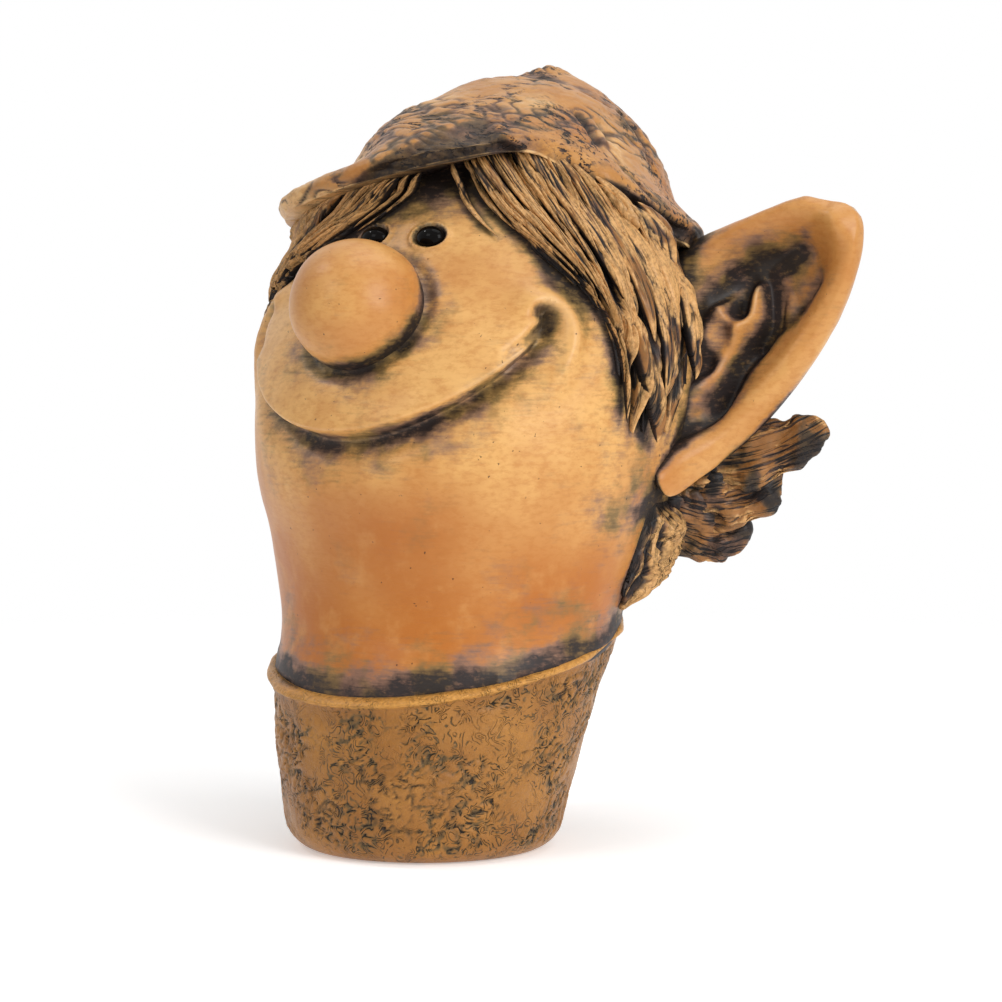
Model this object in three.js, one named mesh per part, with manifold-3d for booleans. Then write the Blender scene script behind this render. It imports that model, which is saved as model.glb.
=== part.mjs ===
// Tree hugger elf: a hollow cast head on a round collar, built as separate castings.
// Millimetres, +Z up. The elf faces -Y and its left side is +X.
// The origin is the centre of the collar's flat base.
import * as THREE from "three";
import { mergeVertices } from "three/addons/utils/BufferGeometryUtils.js";
import Module from "manifold-3d";

const wasm = await Module();
wasm.setup();

const rad = THREE.MathUtils.degToRad;
const mix = THREE.MathUtils.lerp;
const smoothstep = THREE.MathUtils.smoothstep;
const at = (x, y, z) => new THREE.Vector3(x, y, z);

// Clearances
const BOND_GAP = 0.45; // glue line between one casting and the next
const PIN_GAP = 0.3; // glue line round a steel pin or an eye bead
const ROOT_DEPTH = 1.5; // a form reaches this far into the head before it is trimmed to it
const WELD = 1e-3; // vertices closer than this are one

// Collar
const COLLAR_BASE_R = 34.5;
const COLLAR_RIM_R = 44.6;
const COLLAR_HEIGHT = 51; // to the lip, half way round
const COLLAR_RIM_RISE = 10.5; // the lip drops by this in front and rises by it behind
const COLLAR_WALL = 3.2;
const COLLAR_FLOOR = 7;
const COLLAR_EDGE = 6; // rounding of the bottom edge
const COLLAR_LIP = 1.3; // the lip stands out by this
const COLLAR_LIP_HEIGHT = 5;

// Head: reach of the skin from its centre line, to the side, to the front and to the back
const HEAD_LEAN = 0.18; // the centre line runs back by this share of its height
const NECK_Z = 49.5;
const CROWN_Z = 191.5;
const HEAD_STATIONS = [
  { z: NECK_Z, side: 43.4, front: 42.4, back: 39.5 },
  { z: 57.5, side: 44.8, front: 41.3, back: 40.3 },
  { z: 67.5, side: 47.4, front: 42.3, back: 47 },
  { z: 80.5, side: 50.6, front: 46.6, back: 57 },
  { z: 95.5, side: 54.4, front: 53.6, back: 60 },
  { z: 110.5, side: 56.4, front: 56.4, back: 60 },
  { z: 125.5, side: 57.5, front: 53.5, back: 58.5 },
  { z: 140.5, side: 55, front: 47, back: 56 },
  { z: 156.5, side: 48, front: 38.3, back: 50 },
  { z: 171.5, side: 36.5, front: 29, back: 38 },
  { z: 183.5, side: 23, front: 18, back: 24 },
  { z: CROWN_Z, side: 0, front: 0, back: 0 },
];
const HEAD_WALL = 6;
const BACK_WALL = 12; // flat wall behind, thick enough for the keyhole
const SEAT_Y = 66; // flat face that lies against the trunk
const NECK_BORE_R = 22; // the hollow opens down into the collar, which closes it

// Smile: a deep crease under an overhanging upper lip, with a fold round each corner
const SMILE_Z = 107.5; // lowest point of the crease
const SMILE_CORNER_Z = 133;
const SMILE_CORNER_TURN = rad(55);
const SMILE_BOW = 1.9; // power of the curve from the middle to the corner
const CREASE_DEPTH = 4.5;
const CREASE_WIDTH = 3.2;
const LIP_SWELL = 2.6;
const LIP_REACH = 20; // height over which the swell dies away
const SMILE_FADE = [0.72, 1.08]; // crease and lip die away here, in shares of the corner's turn
const FOLD_SWELL = 2.6;
const FOLD_RADIUS = 10; // distance of the fold from the corner
const FOLD_WIDTH = 6;
const POCKET_DEPTH = 2.4;
const POCKET_RADIUS = 6;

// Eyes
const EYE_Z = 156.5;
const EYE_SPACING = 18;
const EYE_WIDTH = 8.4;
const EYE_HEIGHT = 6.2;
const EYE_DEPTH = 6;
const EYE_SINK = 0.8; // the bead's middle lies this far under the skin
const EYE_TILT = rad(-36); // the face slopes back here

// Nose
const NOSE_R = 17;
const NOSE_Z = 139.5;
const NOSE_STANDOFF = 4.8; // the ball's centre stands this far out of the face
const PIN_R = 2.5;
const PIN_LENGTH = 22;
const PIN_IN_HEAD = 9;

// Ears
const EAR_TOP_Z = 152.5;
const EAR_TOP_TURN = rad(119);
const EAR_LOBE_Z = 88.5;
const EAR_LOBE_TURN = rad(104);
const EAR_TIP = at(92.5, 60, 164.5);
const EAR_TOP_BOW = at(69, 56, 165); // pulls the upper edge into a curve
const EAR_LOW_BOW = at(77, 67, 103); // pulls the lower edge into a curve
const EAR_DISH = 9; // the middle of the ear is hollowed by this
const EAR_RIM = 11.5; // thickness of the rolled rim
const EAR_WEB = 5.5; // thickness in the hollow
const EAR_RIM_FROM = 0.35; // the rim starts to thicken at this share of the half width
const EAR_RIM_FULL = 0.8;
const EAR_EDGE_ROUND = 0.75; // share of the thickness that is rounded off at the edge
const EAR_TIP_THIN = 0.55; // share of the thickness left at the tip
const EAR_BLUNT = 6; // half the width left at the tip
const EAR_TIP_FROM = 0.75; // from here on the tip is rounded off
const EAR_TIP_NARROW = 0.45; // to this share of its width
const EAR_PIN_R = 1.6;
const EAR_PIN_LENGTH = 24;
const EAR_PIN_ACROSS = -0.55; // near the lower rim, where the ear is thick

// Cap
const CAP_RISE = 9.5; // from the crown up to the peak
const CAP_TOP_Z = CROWN_Z + CAP_RISE;
const CAP_TOP_BACK = 16; // the peak lies behind the centre line
const CAP_DOME_Z = 161.5; // height where the dome is as wide as CAP_DOME_R
const CAP_DOME_R = 49.5;
const CAP_WALL = 4;
const CAP_SWELL = 7; // the cap is fuller over the right temple
const CAP_SWELL_TURN = rad(-50);
const CAP_SWELL_Z = 188;
const CAP_SWELL_RISE = 10;
const CAP_FOLD = 1.1; // soft folds that run aslant up the cap
const CAP_FOLDS = 5;
const CAP_FOLD_SLANT = 4;
const CAP_BRIM = 4.5; // the rolled brim stands out by this
const CAP_ROLL_Z = 5; // height of the roll's middle above the edge
const CAP_ROLL_RISE = 6;
const CAP_TUCK = 2.5; // below its roll the brim turns in
const CAP_TUCK_RISE = 4;
const CAP_VISOR = 7; // and by this much more where it juts out over the right temple
const CAP_VISOR_TURN = rad(-60);
const CAP_VISOR_WIDTH = rad(32);
const CAP_BUMP = 3; // height of the bump behind the peak
const CAP_BUMP_R = 12;
const CAP_BUMP_BACK = 5;
const CAP_EDGE = [
  [-180, 150], [-130, 152], [-90, 157], [-60, 161.5], [-20, 169.5],
  [20, 175.5], [50, 177.5], [75, 167], [95, 158], [130, 152], [180, 150],
]; // lower edge of the cap: degrees round the head and height

// Hair
const LEFT_TEMPLE_THICK = 8;
const RIGHT_TEMPLE_THICK = 5;
const NAPE_THICK = 6;
const NECK_THICK = 9;
const NECK_HAIR_Z = 88.5; // the neck hair starts under the nape hair
const TEMPLE_LOCKS = 5;
const BACK_LOCKS = 3;
const HAIR_TIP = 1.6;
const HAIR_GROOVE = 0.45; // share of the thickness lost between two locks
const HAIR_RAGGED = 0.14; // share of the length lost between two locks
const FLICK_THICK = 9;
const FLICK_WIDTH = 21;
const FLICK_BELLY = 0.75; // below 1 the lock is widest nearer its root
const FLICK_ROUND = 0.5; // below 1 its ends are rounder
const LEFT_TEMPLE = [
  [0, 27, 47, 161.5, 62, 146.5],
  [0.3, 42, 63, 154.5, 71, 132.5],
  [0.55, 58, 75, 148.5, 78, 112.5],
  [0.8, 76, 92, 143.5, 91, 106.5],
  [1, 98, 107, 135.5, 103, 111.5],
];
const RIGHT_TEMPLE = [
  [0, 8, 24, 159.5, 44, 151.5],
  [0.3, 24, 47, 154.5, 64, 141.5],
  [0.55, 44, 67, 149.5, 78, 119.5],
  [0.8, 68, 88, 143.5, 90, 107.5],
  [1, 98, 107, 135.5, 103, 111.5],
];
const NAPE = [
  [0, 112, 112, 120.5, 112, 92.5],
  [0.5, 128, 127, 117.5, 126, 89.5],
  [1, 146, 143, 115.5, 140, 89.5],
];
const NECK = [
  [0, 102, 103, 77.5, 102, 62.5],
  [0.5, 116, 116, 75.5, 114, 61.5],
  [1, 134, 131, 75.5, 128, 65.5],
];
const FLICKS = [
  [[44, 45, 101], [68, 57, 96], [84, 60, 110]],
  [[44, 44, 92], [61, 57, 87], [71, 60, 96]],
  [[42, 42, 87], [55, 56, 78], [60, 59, 82]],
]; // root, bend and tip of each flicked lock

// Keyhole for a nail, sunk in the flat back
const KEYHOLE_Z = 118;
const KEYHOLE_R = 5;
const KEYHOLE_SLOT = 5;
const KEYHOLE_RUN = 10; // from the middle of the hole up to the end of the slot
const KEYHOLE_DEPTH = 8;
const KEYHOLE_LIP = 3; // thickness of the edges that the nail's head hooks behind
const NAIL_ROOM = 2; // the recess is wider than the slot by this, behind the lip

// Solids

// Moves every vertex of a geometry; the map gets its uv and its position.
function reshape(geometry, map) {
  const place = geometry.attributes.position;
  const uv = geometry.attributes.uv;
  const from = new THREE.Vector3();
  for (let i = 0; i < place.count; i += 1) {
    from.fromBufferAttribute(place, i);
    const to = map(uv.getX(i), uv.getY(i), from);
    place.setXYZ(i, to.x, to.y, to.z);
  }
  return geometry;
}

function solid(geometry) {
  const bare = geometry.clone();
  bare.deleteAttribute("normal");
  bare.deleteAttribute("uv");
  const welded = mergeVertices(bare, WELD);
  const corners = Array.from(welded.index.array);
  const place = welded.attributes.position.array;
  const kept = [];
  let volume = 0;
  const [a, b, c] = [new THREE.Vector3(), new THREE.Vector3(), new THREE.Vector3()];
  for (let i = 0; i < corners.length; i += 3) {
    const [p, q, r] = corners.slice(i, i + 3);
    if (p !== q && q !== r && r !== p) {
      kept.push(p, q, r);
      a.fromArray(place, 3 * p);
      b.fromArray(place, 3 * q);
      c.fromArray(place, 3 * r);
      volume += a.dot(b.cross(c));
    }
  }
  if (volume < 0) kept.reverse();
  const mesh = new wasm.Mesh({
    numProp: 3,
    vertProperties: new Float32Array(place),
    triVerts: new Uint32Array(kept),
  });
  mesh.merge();
  return new wasm.Manifold(mesh);
}

function surface(body) {
  const mesh = body.getMesh();
  const geometry = new THREE.BufferGeometry();
  geometry.setAttribute("position", new THREE.BufferAttribute(new Float32Array(mesh.vertProperties), 3));
  geometry.setIndex(new THREE.BufferAttribute(new Uint32Array(mesh.triVerts), 1));
  geometry.computeVertexNormals();
  return geometry;
}

function pin(radius, from, to) {
  const run = new THREE.Vector3().subVectors(to, from);
  const turn = new THREE.Quaternion().setFromUnitVectors(
    at(0, 1, 0),
    run.clone().normalize(),
  );
  const bar = new THREE.CylinderGeometry(radius, radius, run.length(), 16);
  bar.applyQuaternion(turn);
  const middle = from.clone().lerp(to, 0.5);
  bar.translate(middle.x, middle.y, middle.z);
  return solid(bar);
}

function block(low, high) {
  const size = new THREE.Vector3().subVectors(high, low);
  const box = new THREE.BoxGeometry(size.x, size.y, size.z);
  const middle = low.clone().lerp(high, 0.5);
  box.translate(middle.x, middle.y, middle.z);
  return solid(box);
}

// Block with the outline of a shape drawn in x and z, from y = front to y = back.
function slab(shape, front, back) {
  const prism = new THREE.ExtrudeGeometry(shape, {
    depth: back - front,
    bevelEnabled: false,
    curveSegments: 7,
  });
  prism.rotateX(Math.PI / 2);
  prism.translate(0, back, 0);
  return solid(prism);
}

// Smooth curve through stations; each is a pair of place and value.
function through(stations, place) {
  const last = stations.length - 1;
  const x = THREE.MathUtils.clamp(place, stations[0][0], stations[last][0]);
  let i = 0;
  while (i < last - 1 && x > stations[i + 1][0]) i += 1;
  const slope = (k) => {
    const before = stations[Math.max(k - 1, 0)];
    const after = stations[Math.min(k + 1, last)];
    return (after[1] - before[1]) / (after[0] - before[0]);
  };
  const [from, to] = [stations[i], stations[i + 1]];
  const run = to[0] - from[0];
  const s = (x - from[0]) / run;
  const s2 = s * s;
  const s3 = s2 * s;
  return (2 * s3 - 3 * s2 + 1) * from[1] + (s3 - 2 * s2 + s) * run * slope(i)
    + (3 * s2 - 2 * s3) * to[1] + (s3 - s2) * run * slope(i + 1);
}

// Collar form
const leanAt = (z) => HEAD_LEAN * z;
const collarOuter = (z) => mix(COLLAR_BASE_R, COLLAR_RIM_R, z / COLLAR_HEIGHT);
const collarInner = (z) => collarOuter(z) - COLLAR_WALL;

// With grow the cup is narrower inside and wider outside, to trim the neck to it.
function collarSolid(grow) {
  const lipZ = COLLAR_HEIGHT;
  const outer = (z) => collarOuter(z) + grow;
  const profile = new THREE.Path();
  profile.moveTo(0, 0);
  profile.lineTo(COLLAR_BASE_R - COLLAR_EDGE, 0);
  profile.quadraticCurveTo(COLLAR_BASE_R, 0, outer(COLLAR_EDGE), COLLAR_EDGE);
  profile.lineTo(outer(lipZ / 2), lipZ / 2);
  profile.lineTo(outer(lipZ - COLLAR_LIP_HEIGHT), lipZ - COLLAR_LIP_HEIGHT);
  profile.quadraticCurveTo(outer(lipZ), lipZ - COLLAR_LIP, outer(lipZ) + COLLAR_LIP, lipZ + grow);
  profile.lineTo(collarInner(lipZ) - grow, lipZ + COLLAR_LIP / 2 + grow);
  profile.lineTo(collarInner(COLLAR_FLOOR) - grow, COLLAR_FLOOR + grow);
  profile.lineTo(0, COLLAR_FLOOR + grow);
  const points = profile.getPoints(4);
  const outline = points.filter((p, i) => i === 0 || p.distanceTo(points[i - 1]) > WELD);
  const ring = new THREE.LatheGeometry(outline, 36);
  ring.rotateX(Math.PI / 2);
  return solid(reshape(ring, (u, v, p) => {
    const rise = smoothstep(p.z, COLLAR_FLOOR, COLLAR_HEIGHT) * COLLAR_RIM_RISE;
    const z = p.z + rise * (p.y / COLLAR_RIM_R);
    return at(p.x, p.y + leanAt(z) * smoothstep(p.z, 0, COLLAR_HEIGHT), z);
  }));
}

// Head form

const bell = (x, width) => Math.exp(-((x / width) ** 2));

// Height of the smile's crease, in the direction t round the head (0 is straight ahead).
function creaseZ(t) {
  const share = Math.min(Math.abs(t) / SMILE_CORNER_TURN, 1);
  return mix(SMILE_Z, SMILE_CORNER_Z, share ** SMILE_BOW);
}

// Crease, overhanging lip, corner pockets and cheek folds, as a change of the skin's reach.
function faceRelief(t, z, reach) {
  const turn = Math.abs(t);
  const above = z - creaseZ(t);
  const wide = 1 - smoothstep(turn / SMILE_CORNER_TURN, ...SMILE_FADE);
  const crease = -CREASE_DEPTH * bell(above + CREASE_WIDTH, CREASE_WIDTH);
  const overhang = smoothstep(above, -CREASE_WIDTH, CREASE_WIDTH);
  const lip = LIP_SWELL * overhang * bell(Math.max(above, 0), LIP_REACH);
  const out = Math.hypot(reach * (turn - SMILE_CORNER_TURN), z - SMILE_CORNER_Z);
  const beyond = smoothstep(reach * (turn - SMILE_CORNER_TURN), -FOLD_RADIUS, FOLD_RADIUS / 2);
  const fold = FOLD_SWELL * bell(out - FOLD_RADIUS, FOLD_WIDTH) * beyond;
  const pocket = -POCKET_DEPTH * bell(out, POCKET_RADIUS);
  return wide * (crease + lip) + fold + pocket;
}

const squares = (key) => HEAD_STATIONS.map((s) => [s.z, s[key] ** 2]);
const SIDE = squares("side");
const FRONT = squares("front");
const BACK = squares("back");

function headReach(t, z) {
  const tall = Math.min(z, CROWN_Z);
  const side = Math.sqrt(Math.max(through(SIDE, tall), 0));
  const deep = Math.sqrt(Math.max(through(Math.cos(t) > 0 ? FRONT : BACK, tall), 0));
  if (side * deep === 0) return 0;
  const reach = 1 / Math.hypot(Math.sin(t) / side, Math.cos(t) / deep);
  return reach + faceRelief(t, z, reach);
}

function headPoint(t, z, grow) {
  const reach = headReach(t, z) + grow;
  return at(reach * Math.sin(t), leanAt(z) - reach * Math.cos(t), z);
}

// Columns of the head's grid lie closer in front, and its rows closer over the face.
const FRONT_CROWDING = 0.5;
const HEAD_COLUMNS = 48;
const HEAD_GRID_ROWS = 32;
const turnAt = (u) => 2 * Math.PI * (u - 0.5) - FRONT_CROWDING * Math.sin(2 * Math.PI * (u - 0.5));
const TENON_Z = COLLAR_FLOOR + BOND_GAP;
const NECK_TAPER = (COLLAR_RIM_R - COLLAR_BASE_R) / COLLAR_HEIGHT;
const HEAD_ROWS = [
  [0, TENON_Z], [0.08, NECK_Z], [0.28, SMILE_Z - 12], [0.34, SMILE_Z - 7],
  [0.56, SMILE_Z + 5], [0.64, SMILE_Z + 12], [0.88, EYE_Z + 7], [1, CROWN_Z],
]; // share of the rows, and their height straight ahead

function rowZ(v) {
  let i = 0;
  while (i < HEAD_ROWS.length - 2 && v > HEAD_ROWS[i + 1][0]) i += 1;
  const [from, to] = [HEAD_ROWS[i], HEAD_ROWS[i + 1]];
  return mix(from[1], to[1], (v - from[0]) / (to[0] - from[0]));
}

// Rows bend with the smile, so that one of them runs along the crease.
function bentRow(t, z) {
  if (z < NECK_Z) return z;
  const below = (z - NECK_Z) / (SMILE_Z - NECK_Z);
  const above = (CROWN_Z - z) / (CROWN_Z - SMILE_Z);
  return z + (creaseZ(t) - SMILE_Z) * (z < SMILE_Z ? below * below : above);
}

// Solid inside the skin moved out by grow, between two heights. At the crown it closes to a point.
function headSolid(grow, columns, rows, low, high) {
  return solid(reshape(new THREE.SphereGeometry(1, columns, rows), (u, v) => {
    const t = turnAt(u);
    const share = Math.max((v * rows - 1) / (rows - 1), 0); // the lowest ring bounds a flat end
    const z = THREE.MathUtils.clamp(bentRow(t, rowZ(share)), low, high);
    const pole = v < WELD || v > 1 - WELD;
    const taper = Math.min(z - NECK_Z, 0) * NECK_TAPER;
    const reach = pole ? 0 : headReach(t, Math.max(z, NECK_Z)) + taper + grow;
    const top = v > 1 - WELD && high === CROWN_Z ? grow : 0;
    return at(reach * Math.sin(t), leanAt(z) - reach * Math.cos(t), z + top);
  }));
}

const FAR = 400;
const behindSeat = block(at(-FAR, SEAT_Y, -FAR), at(FAR, FAR, FAR));
const headGrown = headSolid(BOND_GAP, HEAD_COLUMNS, HEAD_GRID_ROWS, TENON_Z, CROWN_Z);

// Keeps the biggest piece when a cut leaves crumbs.
function biggest(body) {
  return body.decompose().reduce((best, one) => (one.volume() > best.volume() ? one : best));
}

function trim(body, cutters) {
  return biggest(cutters.reduce((left, cutter) => left.subtract(cutter), body.subtract(behindSeat)));
}

// Ear form: a dished leaf between an upper and a lower edge, with a thick rolled rim
const earRootTop = headPoint(EAR_TOP_TURN, EAR_TOP_Z, -HEAD_WALL / 2);
const earLobe = headPoint(EAR_LOBE_TURN, EAR_LOBE_Z, -HEAD_WALL / 2);
const earUpper = new THREE.QuadraticBezierCurve3(earRootTop, EAR_TOP_BOW, EAR_TIP);
const earLower = new THREE.QuadraticBezierCurve3(earLobe, EAR_LOW_BOW, EAR_TIP);
const earAcross = new THREE.Vector3().subVectors(earRootTop, earLobe).normalize();
const earFront = new THREE.Vector3().subVectors(EAR_TIP, earLobe).cross(earAcross).normalize();
const tipRun = EAR_TIP.clone().sub(EAR_TOP_BOW.clone().lerp(EAR_LOW_BOW, 0.5));
const tipAcross = new THREE.Vector3().crossVectors(earFront, tipRun).normalize();

// Middle of the ear's thickness: along from root to tip, c from -1 at the lower edge to 1.
function earMiddle(along, c) {
  const spot = earLower.getPoint(along).lerp(earUpper.getPoint(along), (c + 1) / 2);
  return spot.addScaledVector(earFront, -EAR_DISH * (1 - c * c) * (1 - along ** 3));
}

function earSolid(side, grow) {
  return solid(reshape(new THREE.BoxGeometry(1, 1, 1, 8, 8, 1), (u, v, p) => {
    const along = p.x + 0.5;
    const nearTip = Math.max(along - EAR_TIP_FROM, 0) / (1 - EAR_TIP_FROM);
    const c = 2 * p.y * mix(1, EAR_TIP_NARROW, nearTip ** 2);
    const rim = mix(EAR_WEB, EAR_RIM, smoothstep(Math.abs(c), EAR_RIM_FROM, EAR_RIM_FULL));
    const round = Math.sqrt(1 - EAR_EDGE_ROUND * Math.abs(c) ** 6);
    const half = (rim * round * mix(1, EAR_TIP_THIN, along ** 2)) / 2 + grow;
    const spot = earMiddle(along, c);
    spot.addScaledVector(earFront, p.z > 0 ? half : -half);
    spot.addScaledVector(tipAcross, EAR_BLUNT * along ** 2 * c);
    spot.addScaledVector(earAcross, grow * c);
    return at(side * spot.x, spot.y, spot.z);
  }));
}

// Cap form: inner dome on the head, flat rolled edge, outer dome that tapers to the peak
const capEdgeZ = (t) => through(CAP_EDGE, THREE.MathUtils.radToDeg(t));
const CAP_ROWS = 18;
const CAP_INNER_ROWS = 4;

function capOuter(t, share, grow) {
  const edge = capEdgeZ(t) - grow;
  const z = mix(edge, CAP_TOP_Z, Math.sin((share * Math.PI) / 2));
  const climb = (z - edge) / (CAP_TOP_Z - edge);
  const onHead = headReach(t, Math.min(z, CROWN_Z)) + BOND_GAP + CAP_WALL;
  const dome = CAP_DOME_R * Math.sqrt(Math.max(CAP_TOP_Z - z, 0) / (CAP_TOP_Z - CAP_DOME_Z));
  const swell = CAP_SWELL * bell(z - CAP_SWELL_Z, CAP_SWELL_RISE) * (1 + Math.cos(t - CAP_SWELL_TURN)) / 2;
  const fold = CAP_FOLD * Math.sin(CAP_FOLDS * t + CAP_FOLD_SLANT * climb) * Math.sin(Math.PI * climb);
  const visor = CAP_VISOR * bell(t - CAP_VISOR_TURN, CAP_VISOR_WIDTH);
  const above = z - capEdgeZ(t);
  const roll = (CAP_BRIM + visor) * bell(above - CAP_ROLL_Z, CAP_ROLL_RISE);
  const brim = roll - CAP_TUCK * bell(above, CAP_TUCK_RISE);
  const body = Math.max(dome + swell + fold, z < CROWN_Z ? onHead : 0);
  const reach = share === 1 ? 0 : body + brim + grow;
  const back = leanAt(z) + CAP_TOP_BACK * climb ** 1.5;
  const spot = at(reach * Math.sin(t), back - reach * Math.cos(t), z + grow * climb);
  const peakY = leanAt(CAP_TOP_Z) + CAP_TOP_BACK + CAP_BUMP_BACK;
  spot.z += CAP_BUMP * bell(Math.hypot(spot.x, spot.y - peakY), CAP_BUMP_R);
  return spot;
}

function capSolid(grow) {
  return solid(reshape(new THREE.SphereGeometry(1, 40, CAP_ROWS), (u, v) => {
    const row = Math.round(v * CAP_ROWS);
    const t = v < WELD || v > 1 - WELD ? 0 : 2 * Math.PI * (u - 0.5);
    if (row <= CAP_INNER_ROWS) {
      const z = mix(CROWN_Z - 2 * ROOT_DEPTH, capEdgeZ(t) - grow, row / CAP_INNER_ROWS);
      return row === 0 ? at(0, leanAt(z), z - ROOT_DEPTH) : headPoint(t, z, -ROOT_DEPTH);
    }
    return capOuter(t, (row - CAP_INNER_ROWS - 1) / (CAP_ROWS - CAP_INNER_ROWS - 1), grow);
  }));
}

// Hair that lies on the head: flow lines run from start over bend to end, side by side.
// Each line is its share of the way across, degrees at the start, then degrees and height
// at the bend and at the end.
function hairSolid(side, lines, locks, startZ, thick, grow) {
  const column = (k, b) => through(lines.map((line) => [line[0], line[k]]), b);
  const sideways = THREE.MathUtils.radToDeg(grow / COLLAR_RIM_R); // grow, as degrees round the head
  return solid(reshape(new THREE.BoxGeometry(1, 1, 1, 4 * locks, 5, 1), (u, v, p) => {
    const b = p.x + 0.5;
    const a = 0.5 - p.y;
    const gap = Math.cos(Math.PI * b * locks) ** 2;
    const run = a * (1 - HAIR_RAGGED * gap);
    const [s0, s1, s2] = [(1 - run) ** 2, 2 * run * (1 - run), run * run];
    const line = s0 * column(1, b) + s1 * column(2, b) + s2 * column(4, b);
    const turn = line + sideways * (2 * b - 1);
    const top = startZ(side * rad(column(1, b)));
    const z = s0 * top + s1 * column(3, b) + s2 * column(5, b) - grow * a;
    const depth = mix(thick, HAIR_TIP, a ** 3) * (1 - HAIR_GROOVE * gap);
    const spot = headPoint(rad(turn), z, p.z > 0 ? BOND_GAP + depth + grow : -ROOT_DEPTH);
    return at(side * spot.x, spot.y, spot.z);
  }));
}

// Free lock: a leaf along a bent path, flat to the trunk
function flickSolid(side, points, grow) {
  const path = new THREE.QuadraticBezierCurve3(...points);
  const out = at(0, 1, 0);
  return solid(reshape(new THREE.SphereGeometry(1, 12, 10), (u, v) => {
    const body = Math.sin(Math.PI * v ** FLICK_BELLY) ** FLICK_ROUND || 0;
    const spot = path.getPoint(v);
    const across = path.getTangent(v).cross(out).normalize();
    const turn = 2 * Math.PI * u;
    spot.addScaledVector(across, Math.cos(turn) * body * (FLICK_WIDTH / 2 + grow));
    spot.addScaledVector(out, Math.sin(turn) * body * (FLICK_THICK / 2 + grow));
    return at(side * spot.x, spot.y, spot.z);
  }));
}

// Bodies

const NO_GROWTH = 0;

const collarBody = collarSolid(NO_GROWTH);

const noseReach = headReach(0, NOSE_Z) + NOSE_STANDOFF;
const noseAt = at(0, leanAt(NOSE_Z) - noseReach, NOSE_Z);
const noseBall = new THREE.SphereGeometry(NOSE_R, 24, 14);
noseBall.translate(noseAt.x, noseAt.y, noseAt.z);
const inward = at(0, Math.cos(EYE_TILT), Math.sin(EYE_TILT)); // into the sloping face
const nosePinIn = noseAt.clone().addScaledVector(inward, NOSE_STANDOFF + PIN_IN_HEAD);
const nosePinOut = nosePinIn.clone().addScaledVector(inward, -PIN_LENGTH);
const nosePinBody = pin(PIN_R, nosePinOut, nosePinIn);
const nosePinHole = pin(
  PIN_R + PIN_GAP,
  nosePinOut.clone().addScaledVector(inward, -PIN_GAP),
  nosePinIn.clone().addScaledVector(inward, PIN_GAP),
);
const noseBody = biggest(solid(noseBall).subtract(headGrown)).subtract(nosePinHole);

function eyeSolid(side, grow) {
  const bead = new THREE.SphereGeometry(1, 14, 8);
  bead.scale(EYE_WIDTH / 2 + grow, EYE_DEPTH / 2 + grow, EYE_HEIGHT / 2 + grow);
  bead.rotateX(EYE_TILT);
  const turn = EYE_SPACING / 2 / headReach(0, EYE_Z);
  const spot = headPoint(side * turn, EYE_Z, -EYE_SINK);
  bead.translate(spot.x, spot.y, spot.z);
  return solid(bead);
}

function earPinEnds(side, extra) {
  const root = earMiddle(0, EAR_PIN_ACROSS);
  const out = earMiddle(0.3, EAR_PIN_ACROSS);
  const along = new THREE.Vector3().subVectors(out, root).normalize();
  return [-1, 1].map((end) => {
    const spot = root.clone().addScaledVector(along, end * (EAR_PIN_LENGTH / 2 + extra));
    return at(side * spot.x, spot.y, spot.z);
  });
}

// Round hole below, narrow slot above; wider by grow
function keyhole(grow, front, back) {
  const half = KEYHOLE_SLOT / 2 + grow;
  const round = KEYHOLE_R + grow;
  const meet = Math.asin(half / round);
  const shape = new THREE.Shape();
  shape.absarc(0, KEYHOLE_Z, round, Math.PI / 2 + meet, 2.5 * Math.PI - meet);
  shape.absarc(0, KEYHOLE_Z + KEYHOLE_RUN, half, 0, Math.PI);
  return slab(shape, front, back);
}

const cavityTop = CROWN_Z - 2 * HEAD_WALL;
const cavityLimit = block(at(-FAR, SEAT_Y - BACK_WALL, -FAR), at(FAR, FAR, FAR));
const cavity = headSolid(-HEAD_WALL, 22, 12, TENON_Z + HEAD_WALL, cavityTop)
  .subtract(cavityLimit)
  .subtract(collarSolid(BOND_GAP + HEAD_WALL));
const sides = [1, -1];
const earPinHoles = sides.map((side) => pin(EAR_PIN_R + PIN_GAP, ...earPinEnds(side, PIN_GAP)));
const neckBore = pin(
  NECK_BORE_R,
  at(0, leanAt(TENON_Z), TENON_Z - HEAD_WALL),
  at(0, leanAt(TENON_Z), TENON_Z + 2 * HEAD_WALL),
);
const keyholeFloor = SEAT_Y - KEYHOLE_DEPTH;
const headForm = headSolid(NO_GROWTH, HEAD_COLUMNS, HEAD_GRID_ROWS, TENON_Z, CROWN_Z);
const headCuts = [
  behindSeat,
  cavity,
  collarSolid(BOND_GAP),
  neckBore,
  keyhole(NO_GROWTH, keyholeFloor, SEAT_Y + KEYHOLE_LIP),
  keyhole(NAIL_ROOM, keyholeFloor, SEAT_Y - KEYHOLE_LIP),
  nosePinHole,
  ...earPinHoles,
  ...sides.map((side) => eyeSolid(side, PIN_GAP)),
];
const headBody = biggest(headCuts.reduce((left, cutter) => left.subtract(cutter), headForm));

const capBody = trim(capSolid(NO_GROWTH), [headGrown]);
const capGrown = capSolid(BOND_GAP);

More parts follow.
